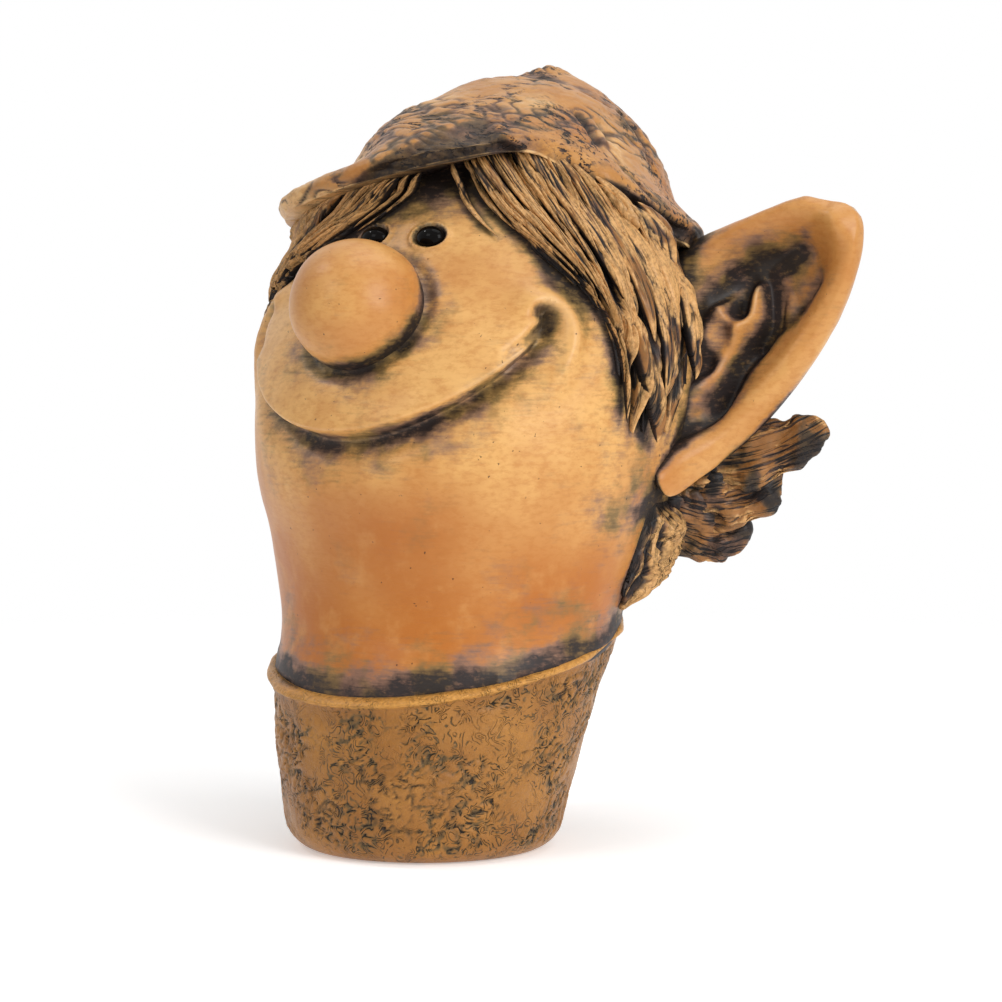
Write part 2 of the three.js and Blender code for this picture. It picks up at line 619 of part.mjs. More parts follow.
// One side's ear and hair; each piece is trimmed to the pieces laid before it.
function sideBodies(side, temple, templeThick) {
  const underCap = (t) => capEdgeZ(t) - BOND_GAP;
  const underNape = () => NECK_HAIR_Z;
  const earGrown = earSolid(side, BOND_GAP);
  const hair = [
    ["temple_hair", (grow) => hairSolid(side, temple, TEMPLE_LOCKS, underCap, templeThick, grow)],
    ["nape_hair", (grow) => hairSolid(side, NAPE, BACK_LOCKS, underCap, NAPE_THICK, grow)],
    ["neck_lock", (grow) => hairSolid(side, NECK, BACK_LOCKS, underNape, NECK_THICK, grow)],
    ...FLICKS.map((points, i) => [
      `flick_${i + 1}`,
      (grow) => flickSolid(side, points.map((p) => at(...p)), grow),
    ]),
  ];
  const laid = [headGrown, earGrown];
  const earPinHole = pin(EAR_PIN_R + PIN_GAP, ...earPinEnds(side, PIN_GAP));
  const bodies = { ear: trim(earSolid(side, NO_GROWTH), [headGrown, capGrown, earPinHole]) };
  for (const [name, form] of hair) {
    bodies[name] = trim(form(NO_GROWTH), laid);
    laid.push(form(BOND_GAP));
  }
  return bodies;
}

// Meshes

const BRONZE = { color: 0xd0934f, roughness: 0.45, metalness: 0.1 };
const FINISH = {
  skin: BRONZE,
  nose: { color: 0xd89a55, roughness: 0.4, metalness: 0.1 },
  cap: { color: 0xc98b4d, roughness: 0.55, metalness: 0.1 },
  hair: { color: 0x9c6c3c, roughness: 0.6, metalness: 0.1 },
  collar: { color: 0xa9702f, roughness: 0.5, metalness: 0.1 },
  eye: { color: 0x0c0b0c, roughness: 0.12, metalness: 0 },
  steel: { color: 0x9a9a98, roughness: 0.35, metalness: 1 },
};

function node(name, body, finish) {
  const mesh = new THREE.Mesh(surface(body), new THREE.MeshStandardMaterial(FINISH[finish]));
  mesh.name = name;
  return mesh;
}

function family(name, members) {
  const group = new THREE.Group();
  group.name = name;
  group.add(...members);
  return group;
}

function sideFamily(word, side, temple, templeThick) {
  const bodies = sideBodies(side, temple, templeThick);
  const hair = Object.keys(bodies).filter((name) => name !== "ear");
  return family(`${word}_side`, [
    node(`${word}_ear`, bodies.ear, "skin"),
    node(`${word}_ear_pin`, pin(EAR_PIN_R, ...earPinEnds(side, NO_GROWTH)), "steel"),
    node(`${word}_eye`, eyeSolid(side, NO_GROWTH), "eye"),
    family(`${word}_hair`, hair.map((name) => node(`${word}_${name}`, bodies[name], "hair"))),
  ]);
}

const elf = family("tree_hugger_elf", [
  node("head_shell", headBody, "skin"),
  node("collar", collarBody, "collar"),
  node("cap", capBody, "cap"),
  family("nose", [node("nose_ball", noseBody, "nose"), node("nose_pin", nosePinBody, "steel")]),
  sideFamily("left", 1, LEFT_TEMPLE, LEFT_TEMPLE_THICK),
  sideFamily("right", -1, RIGHT_TEMPLE, RIGHT_TEMPLE_THICK),
]);

export default elf;
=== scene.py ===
# %% [markdown]
# # Tree hugger elf
#
# The real object is a hollow resin casting: a grinning head with a ball nose, a leathery cap,
# straw-like hair and big swept ears, standing in a round collar. The CAD solids give its sizes and
# places. Here each casting is modelled again as a fine mesh in the same place, with the sculptor's
# creases, combed hair and worn leather, and painted as the real one is: tan bronze paint under a
# dark wash that was rubbed off the high places and stayed in the low ones. Shade under overhangs
# and in hollows, and some highlights, are painted into the colour as well.

# %% Load the frame
import math

import bmesh
import bpy
import numpy as np
from mathutils import Matrix, Vector, noise
from mathutils.bvhtree import BVHTree


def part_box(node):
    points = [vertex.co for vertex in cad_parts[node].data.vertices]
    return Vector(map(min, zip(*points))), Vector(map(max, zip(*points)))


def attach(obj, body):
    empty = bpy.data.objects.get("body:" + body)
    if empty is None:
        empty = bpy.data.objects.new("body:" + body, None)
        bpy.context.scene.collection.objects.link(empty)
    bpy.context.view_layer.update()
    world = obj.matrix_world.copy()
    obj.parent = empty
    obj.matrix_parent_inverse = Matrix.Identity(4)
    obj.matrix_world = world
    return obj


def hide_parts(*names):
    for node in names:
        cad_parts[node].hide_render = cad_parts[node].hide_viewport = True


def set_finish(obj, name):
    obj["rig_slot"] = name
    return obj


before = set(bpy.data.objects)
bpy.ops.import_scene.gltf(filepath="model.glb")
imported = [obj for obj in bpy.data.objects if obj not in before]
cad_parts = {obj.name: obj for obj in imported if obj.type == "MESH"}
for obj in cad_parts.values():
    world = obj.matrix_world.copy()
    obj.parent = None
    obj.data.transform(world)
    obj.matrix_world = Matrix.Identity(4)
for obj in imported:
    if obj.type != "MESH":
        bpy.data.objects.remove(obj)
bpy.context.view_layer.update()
MM = 0.001
print("CAD nodes:", len(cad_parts))

# %% [markdown]
# ## Camera
#
# The camera looks at the elf from its left front, a little above its chin. A long lens at 0.8 m
# keeps the ears from swelling. The direction is built from three axes, because that is easier to
# read than three Euler angles: right and up lie in the picture, and back points to the camera.

# %% Camera
VIEW_TURN = math.radians(36)
VIEW_RISE = math.radians(4)
VIEW_DISTANCE = 0.8
PIXEL_SPAN = 0.26 * MM
IMAGE_PIXELS = 1002
SENSOR_MM = 36
AIM_RIGHT = 0.0198
AIM_UP = 0.0888

view_right = Vector((math.cos(VIEW_TURN), math.sin(VIEW_TURN), 0))
view_back = Vector((
    math.sin(VIEW_TURN) * math.cos(VIEW_RISE),
    -math.cos(VIEW_TURN) * math.cos(VIEW_RISE),
    math.sin(VIEW_RISE),
))
view_up = view_back.cross(view_right)
aim = view_right * AIM_RIGHT + view_up * AIM_UP

lens = bpy.data.cameras.new("portrait_lens")
lens.sensor_width = SENSOR_MM
lens.lens = SENSOR_MM * VIEW_DISTANCE / (IMAGE_PIXELS * PIXEL_SPAN)
camera = bpy.data.objects.new("camera", lens)
axes = Matrix((view_right, view_up, view_back)).transposed().to_4x4()
camera.matrix_world = Matrix.Translation(aim + view_back * VIEW_DISTANCE) @ axes
bpy.context.scene.collection.objects.link(camera)
bpy.context.scene.camera = camera
print("lens", round(lens.lens, 1), "mm")

# %% [markdown]
# ## Tools for a sculptor
#
# A sculptor pushes clay in and out, so the forms here are primitive meshes whose vertices are moved
# by smooth functions: a step, a bell, a curve through stations, and lumpy noise. NumPy moves all
# vertices of a piece at once. Forms are worked out in millimetres and scaled when they are placed.

# %% Smooth functions
def step(x, low, high):
    share = np.clip((x - low) / (high - low), 0, 1)
    return share * share * (3 - 2 * share)


def bell(x, width):
    return np.exp(-((x / width) ** 2))


def mix(low, high, share):
    return low + (high - low) * share


def through(stations, x):
    """Smooth curve through pairs of place and value."""
    places, values = np.array(stations, float).T
    last = len(places) - 1
    before = np.maximum(np.arange(last + 1) - 1, 0)
    after = np.minimum(np.arange(last + 1) + 1, last)
    slope = (values[after] - values[before]) / (places[after] - places[before])
    x = np.clip(x, places[0], places[-1])
    i = np.clip(np.searchsorted(places, x) - 1, 0, last - 1)
    run = places[i + 1] - places[i]
    s = (x - places[i]) / run
    start = (2 * s**3 - 3 * s**2 + 1) * values[i] + (s**3 - 2 * s**2 + s) * run * slope[i]
    return start + (3 * s**2 - 2 * s**3) * values[i + 1] + (s**3 - s**2) * run * slope[i + 1]


def lumps(points, size, seed):
    """Smooth noise from -1 to 1, with lumps about as big as size."""
    return np.array([noise.noise(p) for p in (points / size + 7.3 * seed).tolist()])


def uneven(points, layers):
    """Lumps of several sizes together; each layer has a height and a size in mm, and a seed."""
    return sum(height * lumps(points, size, seed) for height, size, seed in layers)


def curve_points(stops, count):
    """Points of a smooth curve through a few stops."""
    stops = np.array(stops, float)
    places = np.linspace(0, 1, len(stops))
    along = np.linspace(0, 1, count)
    return np.stack([through(np.stack([places, column], 1), along) for column in stops.T], 1)


def near_path(points, path):
    """Distance of each point to a path, and the share of the path at the nearest place."""
    best = np.full(len(points), np.inf)
    share = np.zeros(len(points))
    for k in range(len(path) - 1):
        run = path[k + 1] - path[k]
        s = np.clip((points - path[k]) @ run / (run @ run), 0, 1)
        gap = np.linalg.norm(points - path[k] - s[:, None] * run, axis=1)
        closer = gap < best
        best[closer] = gap[closer]
        share[closer] = (k + s[closer]) / (len(path) - 1)
    return best, share


# %% Meshes and pieces
def spots(bm):
    return np.array([v.co for v in bm.verts])


def place(bm, points):
    for vertex, point in zip(bm.verts, points * MM):
        vertex.co = point


def push(bm, amounts):
    """Moves each vertex along its normal, in millimetres."""
    bm.normal_update()
    for vertex, amount in zip(bm.verts, amounts * MM):
        vertex.co += vertex.normal * amount


def ball(columns, rows):
    """Ball mesh with, for each vertex, its turn round the poles and its share of the way up."""
    bm = bmesh.new()
    bmesh.ops.create_uvsphere(bm, u_segments=columns, v_segments=rows, radius=1)
    x, y, z = spots(bm).T
    return bm, np.arctan2(x, -y), 1 - np.arccos(np.clip(z, -1, 1)) / math.pi


pieces = {}
painted = {}
tones = {}
rubs_and_highlights = {}


def keep(name, bm, node, slot):
    """Turns a finished bmesh into a piece that stands for a CAD node."""
    bmesh.ops.recalc_face_normals(bm, faces=bm.faces)
    mesh = bpy.data.meshes.new(name)
    bm.to_mesh(mesh)
    bm.free()
    mesh.shade_smooth()
    piece = bpy.data.objects.new(name, mesh)
    bpy.context.scene.collection.objects.link(piece)
    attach(piece, "root")
    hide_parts(node)
    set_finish(piece, slot)
    pieces[name] = piece
    print(name, "has", len(mesh.polygons), "faces")
    return piece


def store(bm, word, values):
    """Keeps a number with each vertex, so that it outlasts a cut."""
    layer = bm.verts.layers.float.new(word)
    for vertex, value in zip(bm.verts, values):
        vertex[layer] = value


def stored(piece, word):
    values = np.empty(len(piece.data.vertices), np.float32)
    piece.data.attributes[word].data.foreach_get("value", values)
    return values


def cut_back(bm, y):
    """Cuts the form off behind an upright plane and gives the edges of the cut."""
    everything = bm.verts[:] + bm.edges[:] + bm.faces[:]
    plane = {"plane_co": (0, y * MM, 0), "plane_no": (0, 1, 0)}
    cut = bmesh.ops.bisect_plane(bm, geom=everything, dist=1e-7, clear_outer=True, **plane)
    return [e for e in cut["geom_cut"] if isinstance(e, bmesh.types.BMEdge)]


SHARP = math.radians(50)  # a steeper edge stays an edge

# %% [markdown]
# ## Head
#
# The head is an egg that leans back. Its reach from the leaning centre line is given at a few
# heights, to the side, to the front and to the back, as in the CAD model. The grin is then carved
# into it: an overhanging lip over a deep crease, which ends in a pocket at each corner with a thick
# fold of cheek round it. A ball whose rings bend with the grin has its vertices just where the
# crease needs them, which a plain subdivided solid hasn't.

# %% Head form
HEAD_LEAN = 0.18
NECK_Z = 49.5
TENON_Z = 7.45
CROWN_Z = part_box("head_shell")[1].z / MM
SEAT_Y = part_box("head_shell")[1].y / MM
HEAD_STATIONS = [  # height, reach to the side, to the front and to the back
    (NECK_Z, 43.4, 42.4, 39.5),
    (57.5, 44.8, 41.3, 40.3),
    (67.5, 47.4, 42.3, 47),
    (80.5, 50.6, 46.6, 57),
    (95.5, 54.4, 53.6, 60),
    (110.5, 56.4, 56.4, 60),
    (125.5, 57.5, 53.5, 58.5),
    (140.5, 55, 47, 56),
    (156.5, 48, 38.3, 50),
    (171.5, 36.5, 29, 38),
    (183.5, 23, 18, 24),
    (CROWN_Z, 0, 0, 0),
]
NECK_TAPER = 0.198

SMILE_Z = 107.5
CORNER_Z = 133
CORNER_TURN = math.radians(55)
SMILE_BOW = 1.9
LIP_EDGE = 1.7
LIP_SWELL = 2.8
LIP_REACH = 20
CREASE_DEPTH = 4.6
CHIN_FADE = 5.2
FOLD_PATH = curve_points(
    [(-13, 6.5), (-5, 8.6), (2, 6), (5, 0), (4.2, -7), (0.5, -14), (-6, -20)], 40
)  # out from the corner and up
FOLD_SWELL = 3.8
FOLD_WIDTH = 3.2
HOOK_PATH = curve_points([(-9, -5), (-3.5, -1.5), (-0.5, 1.5), (-1.5, 5), (-5.5, 7)], 30)
HOOK_DEPTH = 4.6
HOOK_WIDTH = 2.1
HOOK_START = 0.4  # share of its depth where it leaves the crease
FOLD_GROWN, FOLD_FADING = 0.3, 0.5  # shares of its path
HOOK_GROWN, HOOK_FADING = 0.4, 0.75
SMILE_ENDS = (0.86, 1.04)  # shares of the way to the corner between which the crease runs out


def lean(z):
    return HEAD_LEAN * z


def crease_height(turn):
    share = np.minimum(np.abs(turn) / CORNER_TURN, 1)
    return mix(SMILE_Z, CORNER_Z, share**SMILE_BOW)


def corner_fields(turn, z, reach):
    """Shares of the cheek fold and of the hooked pocket at the corners of the smile."""
    corner = np.stack([reach * (np.abs(turn) - CORNER_TURN), z - CORNER_Z], 1)
    gap, share = near_path(corner, FOLD_PATH)
    fold = bell(gap, FOLD_WIDTH) * step(share, 0, FOLD_GROWN) * (1 - step(share, FOLD_FADING, 1))
    gap, share = near_path(corner, HOOK_PATH)
    hook = bell(gap, HOOK_WIDTH) * mix(HOOK_START, 1, step(share, 0, HOOK_GROWN))
    return fold, hook * (1 - step(share, HOOK_FADING, 1))


def grin(turn, z, reach):
    """Carving of the smile, as a change of reach."""
    above = z - crease_height(turn)
    wide = 1 - step(np.abs(turn), *[share * CORNER_TURN for share in SMILE_ENDS])
    fade = np.where(above > -LIP_EDGE, LIP_EDGE, CHIN_FADE)
    crease = -CREASE_DEPTH * bell(above + LIP_EDGE, fade)
    lip = LIP_SWELL * step(above, -LIP_EDGE, LIP_EDGE) * bell(np.maximum(above, 0), LIP_REACH)
    fold, hook = corner_fields(turn, z, reach)
    return wide * (crease + lip) + FOLD_SWELL * fold - HOOK_DEPTH * hook


def head_reach(turn, z):
    tall = np.clip(z, NECK_Z, CROWN_Z)
    squares = [[(row[0], row[k] ** 2) for row in HEAD_STATIONS] for k in (1, 2, 3)]
    side, front, back = [np.sqrt(np.maximum(through(s, tall), 1e-6)) for s in squares]
    deep = np.where(np.cos(turn) > 0, front, back)
    reach = 1 / np.hypot(np.sin(turn) / side, np.cos(turn) / deep)
    return reach + np.minimum(z - NECK_Z, 0) * NECK_TAPER


def head_spot(turn, z, grow):
    """Point of the plain head form, moved out by grow."""
    reach = head_reach(turn, z) + grow
    return np.stack([reach * np.sin(turn), lean(z) - reach * np.cos(turn), z], 1)


# %% Nose and eyes set on the head
nose_low, nose_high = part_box("nose_ball")
NOSE_R = (nose_high.x - nose_low.x) / 2 / MM
nose_middle = np.array([0, nose_low.y / MM + NOSE_R, nose_high.z / MM - NOSE_R])
EYE_SIZE = np.array([8.4, 6, 6.2]) / 2
EYE_TILT = math.radians(-36)
eye_middle = {}
for side in ("left", "right"):
    low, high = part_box(f"{side}_eye")
    eye_middle[side] = np.array((low + high) / 2 / MM)
print("nose radius", round(NOSE_R, 1), "mm, left eye at", eye_middle["left"].round(1))


def eye_frame(points, side):
    """Points in an eye's own axes, in half sizes: across, into the face, up."""
    x, y, z = (points - eye_middle[side]).T
    cos, sin = math.cos(EYE_TILT), math.sin(EYE_TILT)
    return np.stack([x, y * cos + z * sin, z * cos - y * sin], 1) / EYE_SIZE


# %% Head mesh
HEAD_COLUMNS = 270
HEAD_RINGS = 220
FRONT_CROWDING = 0.5
RING_STATIONS = [
    (0, TENON_Z), (0.04, NECK_Z), (0.3, 97), (0.5, 116), (0.85, 165), (1, CROWN_Z),
]  # share of the rings and their height straight ahead
LIP_Z = 51
LIP_TILT = 10.5
NECK_FLARE = 1.7
NECK_FLARE_RISE = 4
NECK_FLARE_Z = 1  # above the collar's lip
NECK_SMOOTH = 5  # the relief grows over this height above the neck's end
TENON_ROOM = 3.5
TENON_EDGE = (-6, -1.5)  # heights from the lip between which the tenon draws in
EYE_RING = 1.28  # in half sizes of the eye
EYE_RING_WIDTH = 0.16
EYE_RING_RISE = 0.7
EYE_SOCKET = 0.5
EYE_SOCKET_EDGE = (0.95, 1.15)
NOSE_SEAT = 1.3
NOSE_SEAT_GAP = 0.6
NOSE_SEAT_WIDTH = 2.2
SKIN_LUMPS = [(0.3, 19, 1), (0.12, 6, 2)]


def bent_ring(turn, z):
    """Lets the rings rise with the smile."""
    below = ((z - NECK_Z) / (SMILE_Z - NECK_Z)) ** 2
    above = (CROWN_Z - z) / (CROWN_Z - SMILE_Z)
    bend = np.where(z < NECK_Z, 0, np.where(z < SMILE_Z, below, above))
    return z + (crease_height(turn) - SMILE_Z) * bend


bm, turn, share = ball(HEAD_COLUMNS, HEAD_RINGS)
turn = turn - FRONT_CROWDING * np.sin(turn)
ring = np.maximum((share * HEAD_RINGS - 1) / (HEAD_RINGS - 1), 0)
ring_z = np.interp(ring, *np.array(RING_STATIONS).T)
z = bent_ring(turn, ring_z)
reach = head_reach(turn, z)
skin = reach + grin(turn, z, reach)
skin[(share < 1e-6) | (share > 1 - 1e-6)] = 0
points = np.stack([skin * np.sin(turn), lean(z) - skin * np.cos(turn), z], 1)
place(bm, points)

from_nose = np.linalg.norm(points - nose_middle, axis=1) - NOSE_R
relief = -NOSE_SEAT * bell(from_nose - NOSE_SEAT_GAP, NOSE_SEAT_WIDTH)
for side in eye_middle:
    across, _, up = eye_frame(points, side).T
    out = np.hypot(across, up)
    raised = EYE_RING_RISE * bell(out - EYE_RING, EYE_RING_WIDTH)
    relief += raised - EYE_SOCKET * (1 - step(out, *EYE_SOCKET_EDGE))
relief += uneven(points, SKIN_LUMPS)
above_lip = z - (LIP_Z - LIP_TILT * np.cos(turn))
flare = NECK_FLARE * bell(above_lip - NECK_FLARE_Z, NECK_FLARE_RISE)
relief = relief * step(z, NECK_Z, NECK_Z + NECK_SMOOTH) + flare
relief -= TENON_ROOM * (1 - step(above_lip, *TENON_EDGE))
push(bm, relief)
print("head reaches", round(float(skin.max()), 1), "mm from its centre line")

# %% [markdown]
# The back is cut flat, because the ornament lies against a trunk there, and has a keyhole for a nail.
# `bisect_plane` cuts the form and `triangle_fill` closes the cut round the keyhole's outline, whose
# edge is then extruded three times: in, outwards behind the lip, and in again to the floor.

# %% Flat back with its keyhole
KEYHOLE_Z = 118
KEYHOLE_R = 5
KEYHOLE_HALF_SLOT = 2.5
KEYHOLE_RUN = 10
KEYHOLE_LIP = 3
KEYHOLE_DEPTH = 8
NAIL_ROOM = 2
KEYHOLE_ARC = 14


def keyhole_outline(grow):
    half = KEYHOLE_HALF_SLOT + grow
    radius = KEYHOLE_R + grow
    meet = math.asin(half / radius)
    low = np.linspace(math.pi / 2 + meet, 2.5 * math.pi - meet, 2 * KEYHOLE_ARC)
    high = np.linspace(0, math.pi, KEYHOLE_ARC)
    xs = np.concatenate([radius * np.cos(low), half * np.cos(high)])
    zs = np.concatenate([radius * np.sin(low), half * np.sin(high) + KEYHOLE_RUN])
    return np.stack([xs, np.full(len(xs), SEAT_Y), zs + KEYHOLE_Z], 1)


rim = cut_back(bm, SEAT_Y)
corners = [bm.verts.new(p) for p in keyhole_outline(0) * MM]
mouth = [bm.edges.new((a, b)) for a, b in zip(corners, corners[1:] + corners[:1])]
bmesh.ops.triangle_fill(bm, edges=rim + mouth, use_beauty=True)
for grow, depth in ((0, KEYHOLE_LIP), (NAIL_ROOM, KEYHOLE_LIP), (NAIL_ROOM, KEYHOLE_DEPTH)):
    wall = bmesh.ops.extrude_edge_only(bm, edges=mouth)
    mouth = [e for e in wall["geom"] if isinstance(e, bmesh.types.BMEdge) and e.is_boundary]
    ends = [v for v in wall["geom"] if isinstance(v, bmesh.types.BMVert)]
    outline = (keyhole_outline(grow) - (0, depth, 0)) * MM
    for vertex, point in zip(ends, outline):
        vertex.co = point
bmesh.ops.contextual_create(bm, geom=mouth)
keep("head_skin", bm, "head_shell", "skin_bronze").data.set_sharp_from_angle(angle=SHARP)

# %% [markdown]
# ## Nose and eyes
#
# The nose is a ball of clay pressed on the face, so it is a ball that isn't quite round, cut off
# behind the skin. The eyes are glossy black beads set in rimmed sockets.

# %% Nose ball
NOSE_COLUMNS = 120
NOSE_RINGS = 80
NOSE_BACK = 10  # cut off this far behind its middle, inside the head
NOSE_HEIGHT = 0.985  # share of its width
NOSE_LUMPS = [(0.3, 12, 3)]

bm, _, _ = ball(NOSE_COLUMNS, NOSE_RINGS)
points = spots(bm) * NOSE_R * (1, 1, NOSE_HEIGHT) + nose_middle
place(bm, points)
push(bm, uneven(points, NOSE_LUMPS))
into_face = Vector((0, math.cos(EYE_TILT), math.sin(EYE_TILT)))
bmesh.ops.bisect_plane(
    bm, geom=bm.verts[:] + bm.edges[:] + bm.faces[:], clear_outer=True,
    plane_co=Vector(nose_middle * MM) + into_face * NOSE_BACK * MM, plane_no=into_face,
)
bmesh.ops.holes_fill(bm, edges=[e for e in bm.edges if e.is_boundary])
keep("nose", bm, "nose_ball", "skin_bronze")

# %% Eye beads
BEAD_COLUMNS = 48
BEAD_RINGS = 32

for side in eye_middle:
    bm, _, _ = ball(BEAD_COLUMNS, BEAD_RINGS)
    bmesh.ops.scale(bm, vec=EYE_SIZE * MM, verts=bm.verts)
    bmesh.ops.rotate(bm, matrix=Matrix.Rotation(EYE_TILT, 3, "X"), verts=bm.verts)
    bmesh.ops.translate(bm, vec=eye_middle[side] * MM, verts=bm.verts)
    keep(f"{side}_eye_bead", bm, f"{side}_eye", "eye_gloss")

# %% [markdown]
# ## Collar
#
# The collar is a thrown-looking cup: a profile spun round the upright axis, whose rim is then
# pulled down in front and up behind and pressed into a crinkled skin. `spin` makes the cup from one
# chain of edges; a cylinder would need its lip and floor added by hand.

# %% Collar
COLLAR_BASE_R = 34.5
COLLAR_RIM_R = 44.6
COLLAR_HEIGHT = LIP_Z
COLLAR_RIM_RISE = LIP_TILT
COLLAR_WALL = 3.2
COLLAR_FLOOR = 7
COLLAR_FLOOR_RING = 20  # radius of a ring of vertices on the floor
COLLAR_EDGE = 6
COLLAR_LIP = 1.3
COLLAR_LIP_HEIGHT = 1.3
COLLAR_LIP_ROLL = 1.3
COLLAR_STEPS = 360
COLLAR_WALL_STEPS = 76
COLLAR_INSIDE_STEPS = 24
COLLAR_BASE_STEPS = 14
COLLAR_ROLL_STEPS = 10
COLLAR_LUMPS = [(0.7, 13, 7), (0.25, 6, 8)]
CRINKLE_FROM = 0.42  # the noise below this is creased
CRINKLE_DEPTH = 1.6
CRINKLE_WASH = 1.3
CRINKLE_BEND = 1.6
CRINKLE_BEND_MM = 5
CRINKLE_MM = (2.8, 1.7)
PATCH_MM = 14


def collar_radius(z):
    return mix(COLLAR_BASE_R, COLLAR_RIM_R, z / COLLAR_HEIGHT)


def collar_outside(z):
    """Radius of the outer wall, with its rounded foot and its flared lip."""
    foot = np.maximum(COLLAR_EDGE - z, 0) / COLLAR_EDGE
    flare = COLLAR_LIP * step(z, COLLAR_HEIGHT - COLLAR_LIP_HEIGHT, COLLAR_HEIGHT)
    return collar_radius(z) - COLLAR_EDGE * (1 - np.sqrt(1 - foot**2)) + flare


def collar_bend(points):
    """Leans the cup with the neck, and drops its rim in front."""
    x, y, z = points.T
    rise = step(z, COLLAR_FLOOR, COLLAR_HEIGHT) * COLLAR_RIM_RISE
    tall = z + rise * y / COLLAR_RIM_R
    return np.stack([x, y + lean(tall) * step(z, 0, COLLAR_HEIGHT), tall], 1)


def collar_rim(points):
    """Height of the rim beside each point."""
    return COLLAR_HEIGHT + COLLAR_RIM_RISE * (points[:, 1] - lean(points[:, 2])) / COLLAR_RIM_R


wall_z = COLLAR_HEIGHT * np.linspace(0, 1, COLLAR_WALL_STEPS) ** 1.1
rolled = np.linspace(0, math.pi, COLLAR_ROLL_STEPS)[1:-1]
rim_half = (COLLAR_WALL + COLLAR_LIP) / 2
rim_middle = collar_outside(np.array([COLLAR_HEIGHT]))[0] - rim_half
inside_z = np.linspace(COLLAR_HEIGHT, COLLAR_FLOOR, COLLAR_INSIDE_STEPS)
profile = [(r, 0) for r in np.linspace(0, collar_outside(0.0), COLLAR_BASE_STEPS)[:-1]]
profile += list(zip(collar_outside(wall_z), wall_z))
profile += [
    (rim_middle + rim_half * math.cos(a), COLLAR_HEIGHT + COLLAR_LIP_ROLL * math.sin(a)) for a in rolled
]
profile += [(collar_radius(h) - COLLAR_WALL, h) for h in inside_z]
profile += [(r, COLLAR_FLOOR) for r in (COLLAR_FLOOR_RING, 0)]

bm = bmesh.new()
chain = [bm.verts.new((r * MM, 0, h * MM)) for r, h in profile]
line = [bm.edges.new(pair) for pair in zip(chain, chain[1:])]
bmesh.ops.spin(
    bm, geom=chain + line, cent=(0, 0, 0), axis=(0, 0, 1), dvec=(0, 0, 0), angle=2 * math.pi,
    steps=COLLAR_STEPS, use_merge=True,
)
bmesh.ops.remove_doubles(bm, verts=bm.verts, dist=1e-6)
bmesh.ops.recalc_face_normals(bm, faces=bm.faces)
points = spots(bm) / MM
place(bm, collar_bend(points))
x, y, z = points.T
on_wall = step(z, 1.5, 5) * (np.hypot(x, y) > collar_radius(z) - 2)
bent = points + CRINKLE_BEND * np.stack([lumps(points, CRINKLE_BEND_MM, k) for k in (51, 52, 53)], 1)
coarse, fine = [np.abs(lumps(bent, size, seed)) for seed, size in enumerate(CRINKLE_MM, 4)]
patches = step(lumps(points, PATCH_MM, 6), -0.4, 0.1)
below_lip = 1 - 0.9 * step(z, COLLAR_HEIGHT - 4, COLLAR_HEIGHT - 1.6)
creased = (CRINKLE_FROM - (coarse + 0.5 * fine)).clip(0) * patches * below_lip
push(bm, on_wall * (uneven(points, COLLAR_LUMPS) - CRINKLE_DEPTH * creased))
painted["collar_cup"] = on_wall * CRINKLE_WASH * creased
keep("collar_cup", bm, "collar", "collar_bronze")

# %% [markdown]
# ## Ears
#
# Each ear is a dished leaf with a thick rolled rim. Inside it the real ear has grooves behind the
# rim, a forked fold between them and a hollow beside the hair. A ball whose poles lie at the root
# and at the tip gives the leaf a closed, round-edged section, and the grooves are pressed along
# paths drawn on the leaf: along goes from root to tip, across from the lower edge (-1) to the upper.

# %% Ear form
EAR_TIP = np.array([90, 60, 163])
EAR_TOP_BOW = np.array([74, 56, 167.5])
EAR_LOW_BOW = np.array([73, 67, 104])
EAR_DISH = 9
EAR_RIM = 13.5
EAR_WEB = 12
EAR_BACK = 2.5
EAR_BLUNT = 9
EAR_TIP_ROUND = 2
EAR_SUNK = -3
EAR_TIP_FROM = 0.8
EAR_LEAST = 3
EAR_LOBE_MOVE = np.array([4, -7, -2.5])
EAR_LOBE_RUN = 0.14
EAR_CURL = 0.13
EAR_ROOT_ENDS = [(119, 152.5), (104, 88.5)]  # degrees round the head and height, at the top and the lobe

ear_top, ear_lobe = [
    head_spot(np.array([math.radians(degrees)]), np.array([z]), EAR_SUNK)[0] for degrees, z in EAR_ROOT_ENDS
]
ear_across = (ear_top - ear_lobe) / np.linalg.norm(ear_top - ear_lobe)
ear_front = np.cross(EAR_TIP - ear_lobe, ear_across)
ear_front = ear_front / np.linalg.norm(ear_front)
tip_along = EAR_TIP - (EAR_TOP_BOW + EAR_LOW_BOW) / 2
tip_along = tip_along / np.linalg.norm(tip_along)
tip_across = np.cross(ear_front, tip_along)
tip_across = tip_across / np.linalg.norm(tip_across)


def bow(start, pull, end, share):
    share = share[:, None]
    return (1 - share) ** 2 * start + 2 * share * (1 - share) * pull + share**2 * end


def ear_middle(along, across):
    """Middle of the leaf's thickness."""
    low = bow(ear_lobe, EAR_LOW_BOW, EAR_TIP, along)
    high = bow(ear_top, EAR_TOP_BOW, EAR_TIP, along)
    blunt = EAR_BLUNT * along**2 * across
    flat = mix(low, high, (across[:, None] + 1) / 2) + tip_across * blunt[:, None]
    lobe = bell(along, EAR_LOBE_RUN) * step(-across, 0.35, 1)
    dish = EAR_DISH * (1 - across**2) * (1 - along**3)
    return flat - ear_front * dish[:, None] + EAR_LOBE_MOVE * lobe[:, None]


def ear_path(stops):
    along, across = curve_points(stops, 40).T
    return ear_middle(along, across)


